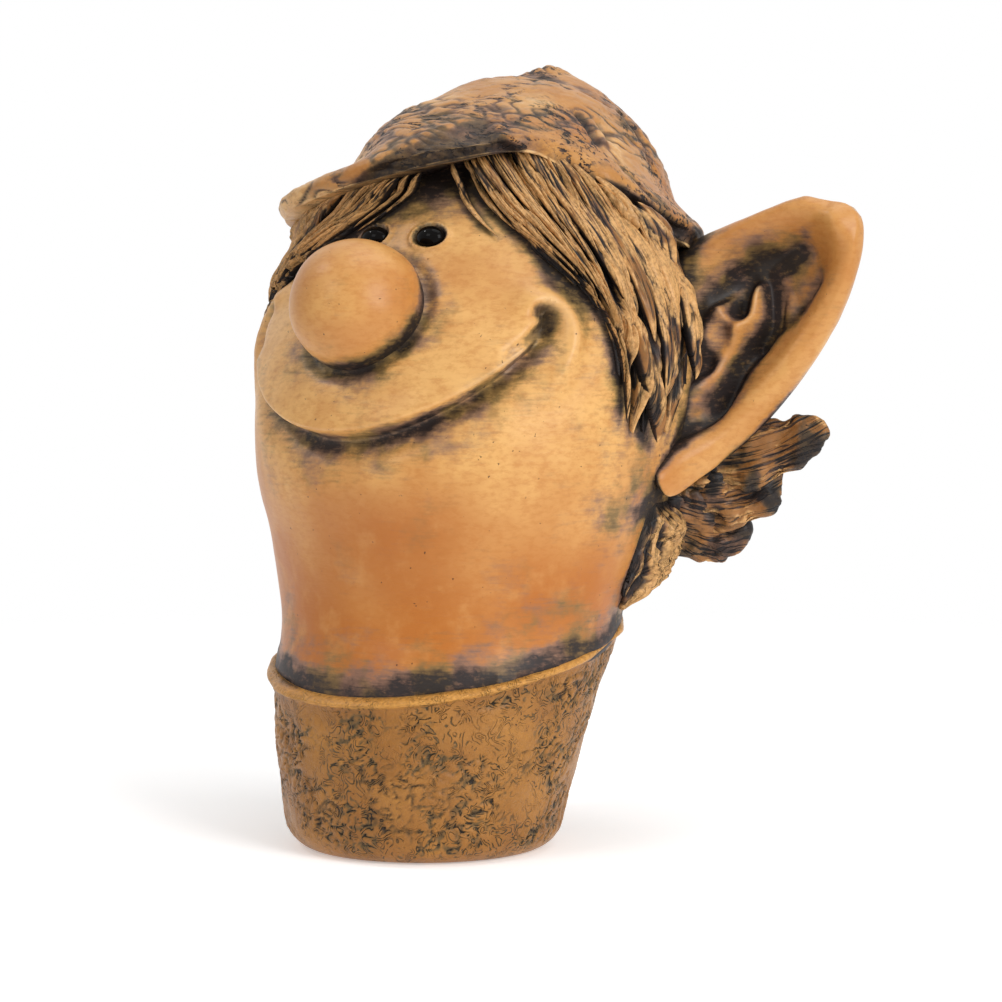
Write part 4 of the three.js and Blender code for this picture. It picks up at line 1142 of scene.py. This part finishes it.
# %% [markdown]
# ## Where the wash stays and where shade is painted
#
# Dark wash stays in creases and is rubbed off ridges, and under overhangs the paint is darkened as
# painted shade. All three are measured on the finished forms: a small sphere is set on each vertex,
# outside for the creases and overhangs and inside for the ridges, and the nearest surface says how
# much of it is taken up. For creases that is the surface of the whole elf, for overhangs that of
# the CAD solids, and for ridges that of the piece itself. The painter also laid wash by hand along
# the smile, round the nose and in the hollows of the ears. Shade is painted under the nose, on
# the forehead under the brim, above the collar, inside the cap and in its brim's hollow, and along
# the edges and under the locks of the hair. That share is added here, and so are painted highlights
# on the smile's fold and the muzzle, on the collar's lip and on the cap's brim.

# %% Wash, tone, painted shade and painted highlights laid along the forms
EAR_ROOT = [(0.02, -1), (0.02, -0.4), (0.02, 0.3), (0.02, 1)]
EAR_ROOT_WIDTH = 5
BACK_WASH = 0.1
NOSE_TONE = 0.45
HEAD_TONES = (0.9, 0.1)  # at the chin and from the smile up
HEAD_TONE_Z = (65, 118)
# Height and width of the pale band on the collar's lip, which is rubbed and painted as a highlight.
LIP_RUB_AND_HIGHLIGHT_Z = 0.4  # above the rim
LIP_RUB_AND_HIGHLIGHT_WIDTH = 0.9


def mesh_spots(name):
    return np.array([v.co for v in pieces[name].data.vertices]) / MM


points = mesh_spots("head_skin")
x, y, z = points.T
turn = np.arctan2(x, lean(z) - y)
wide = np.abs(np.degrees(turn))
above = z - crease_height(turn)
patchy = 0.5 + 0.5 * lumps(points, 6, 41)
streaky = 0.5 + 0.5 * lumps(points * (1, 1, 2.5), 9, 42)
on_smile = 1 - step(wide, 52, 62)
core = 0.4 * bell(above + 3, np.where(above < -3, 2.4, 1.8))
smear = 0.3 * patchy * bell(above + 7, 7) + 0.25 * bell(above - 2, 3) * step(wide, 25, 42)
fold, hook = corner_fields(turn, z, head_reach(turn, z))
smile = np.maximum(on_smile * (core + smear), 0.75 * hook)
# Round the nose the crevice keeps wash, and under the ball its shadow is painted in.
from_nose = np.linalg.norm(points - nose_middle, axis=1) - NOSE_R
wash_and_shadow_under_nose = bell(from_nose - 2, 7) * step(nose_middle[2] - z, -12, 6)
nose_wash_and_shadow = 0.35 * bell(from_nose, 1.8) + 0.4 * patchy * wash_and_shadow_under_nose
# A darker band on the forehead under the cap's edge: wash and the brim's painted shade.
brow_wash_and_shade = 0.6 * step(z, cap_edge(turn) - 20, cap_edge(turn) - 3) * step(streaky + 0.2, 0, 0.8)
# Above the collar's rim the neck is darkened: wash in the crevice and painted shade where the neck goes into
# the collar.
rim_z = collar_rim(points)
neck = mix(0.4, 1.1, streaky) * (1 - step(z - rim_z, 1.5, 9)) + 0.6 * streaky * bell(z - rim_z, 16)
temple = 0.4 * patchy * step(wide, 55, 90) * step(z, 66, 84)
from_ear, _ = near_path(np.stack([np.abs(x), y, z], 1), ear_path(EAR_ROOT))
temple = np.maximum(temple, mix(0.5, 0.9, patchy) * bell(from_ear, EAR_ROOT_WIDTH))
on_back = y > SEAT_Y - 0.05
laid = np.maximum.reduce([smile, nose_wash_and_shadow, brow_wash_and_shade, neck, temple])
painted["head_skin"] = np.where(on_back, BACK_WASH, laid)
tones |= {"head_skin": mix(*HEAD_TONES, step(z, *HEAD_TONE_Z)), "nose": NOSE_TONE}
# A pale band along the collar's lip: rubbed paint and a painted highlight.
on_collar = mesh_spots("collar_cup")
rubs_and_highlights["collar_cup"] = bell(on_collar[:, 2] - collar_rim(on_collar) - LIP_RUB_AND_HIGHLIGHT_Z, LIP_RUB_AND_HIGHLIGHT_WIDTH)
# Painted highlights: a pale sheen on the smile's fold, on the muzzle and along the lip's edge.
muzzle_sheen = on_smile * bell(above - 5, 6) * step(wide, 15, 40) * patchy
rubs_and_highlights["head_skin"] = 0.15 * fold + 0.24 * muzzle_sheen + 0.08 * on_smile * bell(above - 1.5, 2)
damp = (1 - 0.7 * bell(from_nose, 7)) * (1 - 0.55 * on_smile * bell(above + 3, 6) * (1 - hook))
damped = {"head_skin": np.where(on_back, 0, damp)}

# %% Probe every piece
CREASE_PROBES = {1.6: 0.35, 5: 0.55}  # radius of the sphere in mm and its share of the wash
OVERHANG_PROBE = 13
OVERHANG_SHARE = 0.5
RIDGE_PROBE = 1


def whole_tree(objects):
    corners, faces = [], []
    for piece in objects:
        offset = len(corners)
        corners += [v.co[:] for v in piece.data.vertices]
        faces += [[offset + k for k in p.vertices] for p in piece.data.polygons]
    return BVHTree.FromPolygons(corners, faces)


def taken_up(tree, seats, radius):
    """Share of a sphere's radius that the nearest surface takes up, for each vertex."""
    out = radius * MM
    reach = abs(out)
    gaps = [tree.find_nearest(seat + normal * out, reach)[3] for seat, normal in seats]
    return np.array([0 if gap is None else 1 - gap / reach for gap in gaps])


def set_field(mesh, word, values):
    field = mesh.attributes.new(word, "FLOAT", "POINT")
    values = np.broadcast_to(np.clip(values, 0, 1), len(mesh.vertices))
    field.data.foreach_set("value", values.astype(np.float32))


fine_tree = whole_tree(pieces.values())
coarse_tree = whole_tree(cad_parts.values())
for name, piece in pieces.items():
    mesh = piece.data
    seats = [(v.co.copy(), v.normal.copy()) for v in mesh.vertices]
    probes = {} if piece["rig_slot"] == "hair_bronze" else CREASE_PROBES
    wash_and_shade = sum(share * taken_up(fine_tree, seats, radius) for radius, share in probes.items())
    # The broad sphere darkens the paint under overhangs: painted shade.
    wash_and_shade = wash_and_shade + OVERHANG_SHARE * (taken_up(coarse_tree, seats, OVERHANG_PROBE) - 0.15).clip(0)
    wash_and_shade = wash_and_shade * damped.get(name, 1)
    laid_wash_and_shade = painted.get(name, 0)
    rub_and_highlight = rubs_and_highlights.get(name, 0)
    ridge = taken_up(whole_tree([piece]), seats, -RIDGE_PROBE)
    worn_and_highlight = ridge * (1 - np.minimum(laid_wash_and_shade, 1)) * damped.get(name, 1) + rub_and_highlight
    set_field(mesh, "wash_and_shade", (np.maximum(wash_and_shade, laid_wash_and_shade) + 0.3 * np.minimum(wash_and_shade, laid_wash_and_shade)) * (1 - rub_and_highlight))
    set_field(mesh, "worn_and_highlight", worn_and_highlight)
    set_field(mesh, "tone", tones.get(name, 0.5))
print("probed", sum(len(p.data.vertices) for p in pieces.values()), "vertices")

# %% [markdown]
# ## Finishes
#
# Every casting has the same paint, laid differently. Cold-cast resin was sprayed with tan bronze
# paint, brushed with a blue-black wash, wiped while wet and sealed with satin lacquer. So each
# finish mixes three paints in soft mottles, lays the wash and the painted shade over them where the
# measured field is high, breaks its edge up with grain, and lifts the rubbed ridges and the painted
# highlights.

# %% Shader tools
def linear(hex_colour):
    """Linear colour of an sRGB hex value."""
    parts = [int(hex_colour[k:k + 2], 16) / 255 for k in (1, 3, 5)]
    return [c / 12.92 if c <= 0.04045 else ((c + 0.055) / 1.055) ** 2.4 for c in parts] + [1]


def add(tree, kind, links, out=0, **settings):
    """Adds a shader node with its settings and gives one output.

    links pairs the node's inputs with sockets or values.
    """
    node = tree.nodes.new("ShaderNode" + kind)
    for key, value in settings.items():
        setattr(node, key, value)
    for target, source in links.items():
        if isinstance(source, bpy.types.NodeSocket):
            tree.links.new(source, node.inputs[target])
        else:
            node.inputs[target].default_value = source
    return node.outputs[out]


def per_metre(size_mm):
    """Texture scale that gives a pattern features of this size."""
    return 1 / (size_mm * MM)


# %% [markdown]
# Each casting has a pattern of its own in which the wash stays: level brush marks on the skin, curled
# strokes like crumpled cloth on the collar, strokes of a wire brush on the cap, and comb lines along
# the hair. A pattern is a number from 0 to 1 that darkens the paint and dents the surface.

# %% Patterns of the wash
SOFT = {"interpolation_type": "SMOOTHSTEP"}


def brushed(tree, spot):
    """Faint brush marks, which run level round the casting, and clouds of thin wash."""
    level = add(tree, "VectorMath", {0: spot, 1: (0.12, 0.12, 1)}, operation="MULTIPLY")
    marks = add(tree, "TexNoise", {"Vector": level, "Scale": per_metre(0.9), "Detail": 2})
    marks = add(tree, "MapRange", {"Value": marks, "From Min": 0.4, "From Max": 0.8, "To Max": 0.16}, **SOFT)
    clouds = add(tree, "TexNoise", {"Vector": spot, "Scale": per_metre(17), "Detail": 5, "Roughness": 0.6})
    links = {"Value": clouds, "From Min": 0.4, "From Max": 0.75, "To Max": 0.42}
    clouds = add(tree, "MapRange", links, **SOFT)
    return add(tree, "Math", {0: marks, 1: clouds}, operation="ADD")


def crinkled(tree, spot):
    """Short curled strokes like crumpled cloth: level lines of a noise, broken up and in patches."""
    swirl = add(tree, "TexNoise", {"Vector": spot, "Scale": per_metre(5), "Detail": 1.5, "Distortion": 0.6})
    strokes = add(tree, "Math", {0: swirl, 1: 0.04}, operation="PINGPONG")
    strokes = add(tree, "MapRange", {"Value": strokes, "From Max": 0.02, "To Min": 1, "To Max": 0}, **SOFT)
    gaps = add(tree, "TexNoise", {"Vector": spot, "Scale": per_metre(2), "Detail": 2})
    gaps = add(tree, "MapRange", {"Value": gaps, "From Min": 0.4, "From Max": 0.54}, **SOFT)
    drawn = add(tree, "Math", {0: strokes, 1: gaps, 2: 0.25}, operation="MULTIPLY_ADD")
    patches = add(tree, "TexNoise", {"Vector": spot, "Scale": per_metre(12), "Detail": 4})
    links = {"Value": patches, "From Min": 0.36, "From Max": 0.6, "To Min": 0.1, "To Max": 0.72}
    patches = add(tree, "MapRange", links, **SOFT)
    return add(tree, "Math", {0: drawn, 1: patches}, operation="MULTIPLY")


def scratched(tree, spot):
    """Short strokes of a wire brush, in patches."""
    aslant = add(tree, "VectorMath", {0: spot, 1: (0.3, 1, 0.9)}, operation="MULTIPLY")
    links = {"Vector": aslant, "Scale": per_metre(1.4), "Detail": 3, "Roughness": 0.7}
    strokes = add(tree, "TexNoise", links)
    links = {"Value": strokes, "From Min": 0.53, "From Max": 0.62, "To Max": 0.85}
    strokes = add(tree, "MapRange", links, **SOFT)
    patches = add(tree, "TexNoise", {"Vector": spot, "Scale": per_metre(14), "Detail": 3})
    patches = add(tree, "MapRange", {"Value": patches, "From Min": 0.44, "From Max": 0.6}, **SOFT)
    return add(tree, "Math", {0: strokes, 1: patches}, operation="MULTIPLY")


def combed(tree, spot):
    """Fine grooves along each lock, from the comb field, which is in millimetres."""
    comb = add(tree, "Attribute", {}, "Vector", attribute_name="comb")
    drawn = add(tree, "VectorMath", {0: comb, 1: (1.25, 0.05, 1)}, operation="MULTIPLY")
    grooves = add(tree, "TexNoise", {"Vector": drawn, "Scale": 1, "Detail": 3, "Roughness": 0.6})
    links = {"Value": grooves, "From Min": 0.5, "From Max": 0.62, "To Max": 0.75}
    return add(tree, "MapRange", links, **SOFT)


# %% Rubbed bronze paint
def rubbed_bronze(name, paints, films, wash_and_shade, rub_and_highlight, pattern, mottle_mm, grain_mm, level, gloss, bump_mm):
    """Paint in three tints, wash and painted shade from the field and the pattern, rubbed ridges
    and painted highlights, satin lacquer.

    The grain is brushed: level is its height over its length.
    """
    material = bpy.data.materials.new(name)
    material.use_nodes = True
    tree = material.node_tree
    shader = tree.nodes["Principled BSDF"]
    spot = add(tree, "TexCoord", {}, "Object")
    field, worn_and_highlight, tone = [
        add(tree, "Attribute", {}, "Fac", attribute_name=word) for word in ("wash_and_shade", "worn_and_highlight", "tone")
    ]

    # Paint: two tints by tone and broad cloud, a third in small clouds
    broad = add(tree, "TexNoise", {"Vector": spot, "Scale": per_metre(mottle_mm), "Detail": 3})
    small = add(tree, "TexNoise", {"Vector": spot, "Scale": per_metre(mottle_mm / 4), "Detail": 4})
    deep = add(tree, "Math", {0: tone, 1: 0.7, 2: broad}, operation="MULTIPLY_ADD")
    deep = add(tree, "MapRange", {"Value": deep, "From Min": 0.45, "From Max": 1.2}, **SOFT)
    third = add(tree, "MapRange", {"Value": small, "From Min": 0.42, "From Max": 0.8, "To Max": 0.6}, **SOFT)
    paint = add(tree, "Mix", {0: deep, 6: linear(paints[0]), 7: linear(paints[1])}, 2, data_type="RGBA")
    paint = add(tree, "Mix", {0: third, 6: paint, 7: linear(paints[2])}, 2, data_type="RGBA")

    # Brushed paint is never even: grain darkens it a little
    drawn = add(tree, "VectorMath", {0: spot, 1: (level, level, 1)}, operation="MULTIPLY")
    links = {"Vector": drawn, "Scale": per_metre(grain_mm), "Detail": 5, "Roughness": 0.65}
    grain = add(tree, "TexNoise", links)
    links = {"Value": grain, "From Min": 0.4, "From Max": 0.7, "To Max": 0.36}
    specks = add(tree, "MapRange", links, **SOFT)
    paint = add(tree, "Mix", {0: specks, 6: paint, 7: linear(paints[1])}, 2, data_type="RGBA")

    # Wash and painted shade: the field and the pattern, with an edge broken up by grain and smears
    smear = add(tree, "TexNoise", {"Vector": spot, "Scale": per_metre(grain_mm * 3.5), "Detail": 3})
    ragged = add(tree, "Math", {0: grain, 1: smear}, operation="ADD")
    ragged = add(tree, "Math", {0: ragged, 1: 1}, operation="SUBTRACT")
    reach = add(tree, "MapRange", {"Value": field, "From Max": 0.4, "To Min": 0.15, "To Max": 0.7}, **SOFT)
    lines = pattern(tree, spot)
    stronger = add(tree, "Math", {0: field, 1: 1.2, 2: 0.7}, operation="MULTIPLY_ADD")
    lines = add(tree, "Math", {0: lines, 1: stronger}, operation="MULTIPLY")
    laid = add(tree, "Math", {0: ragged, 1: reach, 2: field}, operation="MULTIPLY_ADD")
    laid = add(tree, "Math", {0: laid, 1: lines}, operation="ADD")
    thin = add(tree, "MapRange", {"Value": laid, "From Min": 0.12, "From Max": 0.6, "To Max": 0.8}, **SOFT)
    thick = add(tree, "MapRange", {"Value": laid, "From Min": 0.42, "From Max": 1, "To Max": 0.95}, **SOFT)
    links = {"Value": grain, "From Min": 0.5, "From Max": 0.74, "To Min": 1, "To Max": 0.5}
    flecks = add(tree, "MapRange", links, **SOFT)
    thick = add(tree, "Math", {0: thick, 1: flecks}, operation="MULTIPLY")
    hue = add(tree, "TexNoise", {"Vector": spot, "Scale": per_metre(11), "Detail": 2})
    hue = add(tree, "MapRange", {"Value": hue, "From Min": 0.42, "From Max": 0.58}, **SOFT)
    film = add(tree, "Mix", {0: hue, 6: linear(films[0]), 7: linear(films[1])}, 2, data_type="RGBA")
    colour = add(tree, "Mix", {0: thin, 6: paint, 7: film}, 2, data_type="RGBA")
    colour = add(tree, "Mix", {0: thick, 6: colour, 7: linear(wash_and_shade)}, 2, data_type="RGBA")

    # Rubbed ridges and painted highlights, and pits that kept a speck of wash
    bare_and_highlit = add(tree, "MapRange", {"Value": worn_and_highlight, "From Min": 0.06, "From Max": 0.45}, **SOFT)
    links = {"Value": grain, "From Min": 0.3, "From Max": 0.65, "To Min": 0.3, "To Max": 0.85}
    broken = add(tree, "MapRange", links, **SOFT)
    rubbed_and_highlit = add(tree, "Math", {0: bare_and_highlit, 1: broken}, operation="MULTIPLY")
    colour = add(tree, "Mix", {0: rubbed_and_highlit, 6: colour, 7: linear(rub_and_highlight)}, 2, data_type="RGBA")
    pits = add(tree, "TexNoise", {"Vector": spot, "Scale": per_metre(1.2), "Detail": 2})
    pits = add(tree, "MapRange", {"Value": pits, "From Min": 0.73, "From Max": 0.78, "To Max": 0.7}, **SOFT)
    colour = add(tree, "Mix", {0: pits, 6: colour, 7: linear(wash_and_shade)}, 2, data_type="RGBA")
    tree.links.new(colour, shader.inputs["Base Color"])

    # Lacquer: duller over the wash and the painted shade; the pattern, the pits and the grain dent the
    # surface
    links = {"Value": laid, "From Min": 0.2, "To Min": gloss, "To Max": gloss + 0.22}
    rough = add(tree, "MapRange", links, **SOFT)
    tree.links.new(rough, shader.inputs["Roughness"])
    dents = add(tree, "Math", {0: lines, 1: pits}, operation="ADD")
    height = add(tree, "Math", {0: grain, 1: 0.4}, operation="MULTIPLY")
    height = add(tree, "Math", {0: height, 1: dents}, operation="SUBTRACT")
    bump = add(tree, "Bump", {"Height": height, "Strength": 0.9, "Distance": bump_mm * MM})
    tree.links.new(bump, shader.inputs["Normal"])
    shader.inputs["IOR"].default_value = 1.5
    shader.inputs["Specular IOR Level"].default_value = 0.25
    shader.inputs["Coat Weight"].default_value = 0.12
    shader.inputs["Coat Roughness"].default_value = 0.3
    return material


finishes = {
    # Smooth skin: warm tan that deepens to orange, soft brush marks, a satin sheen and pale painted
    # highlights
    "skin_bronze": rubbed_bronze(
        "satin_bronze_on_resin_skin",
        ("#E4B06B", "#B36A28", "#CE9454"), ("#7A6258", "#74643E"), "#191619", "#EEC48C",
        brushed, 26, 1.3, 0.5, 0.38, 0.25,
    ),
    # Crinkled collar: darker and browner, with short curled strokes of wash
    "collar_bronze": rubbed_bronze(
        "satin_bronze_on_crinkled_resin",
        ("#B07A36", "#84531F", "#9A6A2E"), ("#5E431F", "#4F452A"), "#1A130D", "#D89C4C",
        crinkled, 14, 1.2, 1, 0.38, 0.8,
    ),
    # Leathery cap: scratched tan with dark strokes and pale scuffs, painted highlights and painted shade
    "cap_bronze": rubbed_bronze(
        "satin_bronze_on_leathery_resin",
        ("#D09A58", "#A4652A", "#B8854C"), ("#624A40", "#574A33"), "#1B1516", "#E8BC80",
        scratched, 18, 1.3, 0.7, 0.4, 0.5,
    ),
    # Combed hair: brown with near-black grooves and light, rubbed strands
    "hair_bronze": rubbed_bronze(
        "satin_bronze_on_combed_resin",
        ("#AA7540", "#7C5128", "#72593A"), ("#4A3833", "#3C3729"), "#100E12", "#E8B474",
        combed, 9, 1.0, 1, 0.4, 0.5,
    ),
}
print("finishes", list(finishes))

# %% Glossy bead and steel
# A polished glass bead shows one small sharp light, and a drawn pin a soft grey sheen.
for slot, name, shades, metallic, roughness, haze_mm in (
    ("eye_gloss", "gloss_black_glass_bead", ("#060506", "#14110F"), 0, 0.05, 2),
    ("pin_steel", "drawn_steel_pin", ("#8C8C8A", "#A8A8A6"), 1, 0.35, 1.5),
):
    material = bpy.data.materials.new(name)
    material.use_nodes = True
    tree = material.node_tree
    shader = tree.nodes["Principled BSDF"]
    spot = add(tree, "TexCoord", {}, "Object")
    haze = add(tree, "TexNoise", {"Vector": spot, "Scale": per_metre(haze_mm)})
    shade = add(tree, "Mix", {0: haze, 6: linear(shades[0]), 7: linear(shades[1])}, 2, data_type="RGBA")
    tree.links.new(shade, shader.inputs["Base Color"])
    shader.inputs["Metallic"].default_value = metallic
    shader.inputs["Roughness"].default_value = roughness
    shader.inputs["Specular IOR Level"].default_value = 0.06
    finishes[slot] = material

for node in ("nose_pin", "left_ear_pin", "right_ear_pin"):
    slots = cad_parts[node].data.materials
    slots.clear()
    slots.append(finishes["pin_steel"])
for piece in pieces.values():
    piece.data.materials.append(finishes[piece["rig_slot"]])

# %% [markdown]
# ## Studio
#
# The elf stands on white paper in soft light: a large softbox on the right, weaker ones in front and
# above, a small lamp that lights up in the eyes, and a pale surround. The paper fades out round the
# elf, so that no edge of it shows, and keeps the shadow. The surround is white to the camera and to
# reflections and dimmer as a light, so that the colours come out as they are written.

# %% Floor
PAPER_SOLID = 0.22
PAPER_GONE = 0.6
PAPER_GLOW = 0.35

floor_bm = bmesh.new()
bmesh.ops.create_grid(floor_bm, x_segments=1, y_segments=1, size=PAPER_GONE)
floor_mesh = bpy.data.meshes.new("floor")
floor_bm.to_mesh(floor_mesh)
floor_bm.free()
floor = bpy.data.objects.new("floor", floor_mesh)
bpy.context.scene.collection.objects.link(floor)
paper = bpy.data.materials.new("matt_white_paper")
paper.use_nodes = True
shader = paper.node_tree.nodes["Principled BSDF"]
shader.inputs["Base Color"].default_value = linear("#FFFFFF")
shader.inputs["Roughness"].default_value = 0.9
shader.inputs["Specular IOR Level"].default_value = 0.1
shader.inputs["Emission Color"].default_value = linear("#FFFFFF")
shader.inputs["Emission Strength"].default_value = PAPER_GLOW
spot = add(paper.node_tree, "TexCoord", {}, "Object")
away = add(paper.node_tree, "VectorMath", {0: spot}, "Value", operation="LENGTH")
links = {"Value": away, "From Min": PAPER_SOLID, "From Max": PAPER_GONE, "To Min": 1, "To Max": 0}
fade = add(paper.node_tree, "MapRange", links, **SOFT)
paper.node_tree.links.new(fade, shader.inputs["Alpha"])
floor.data.materials.append(paper)

# %% Light and view
SURROUND = 0.3


def softbox(name, place, size, power):
    light = bpy.data.lights.new(name, "AREA")
    light.shape = "RECTANGLE"
    light.size, light.size_y = size
    light.energy = power
    lamp = bpy.data.objects.new(name, light)
    lamp.location = place
    aim_at = Vector((0, 0, 0.11)) - Vector(place)
    lamp.rotation_euler = aim_at.to_track_quat("-Z", "Y").to_euler()
    bpy.context.scene.collection.objects.link(lamp)


softbox("right_softbox", (1.25, -0.35, 0.55), (0.6, 0.9), 12)
softbox("front_softbox", (-0.25, -1.25, 0.85), (0.5, 0.5), 2.4)
softbox("top_softbox", (0.2, 0.1, 1.3), (0.9, 0.9), 5.5)
softbox("catch_light", (-0.7, -0.39, 1.06), (0.1, 0.1), 1.6)

world = bpy.data.worlds.new("pale_studio")
world.use_nodes = True
bpy.context.scene.world = world
sky = world.node_tree
seen = 0
for ray in ("Is Camera Ray", "Is Glossy Ray", "Is Transmission Ray"):
    seen = add(sky, "Math", {0: add(sky, "LightPath", {}, ray), 1: seen}, operation="MAXIMUM")
level = add(sky, "MapRange", {"Value": seen, "To Min": SURROUND, "To Max": 1})
sky.nodes["Background"].inputs["Color"].default_value = (1, 1, 1, 1)
sky.links.new(level, sky.nodes["Background"].inputs["Strength"])
bpy.context.scene.view_settings.view_transform = "Standard"
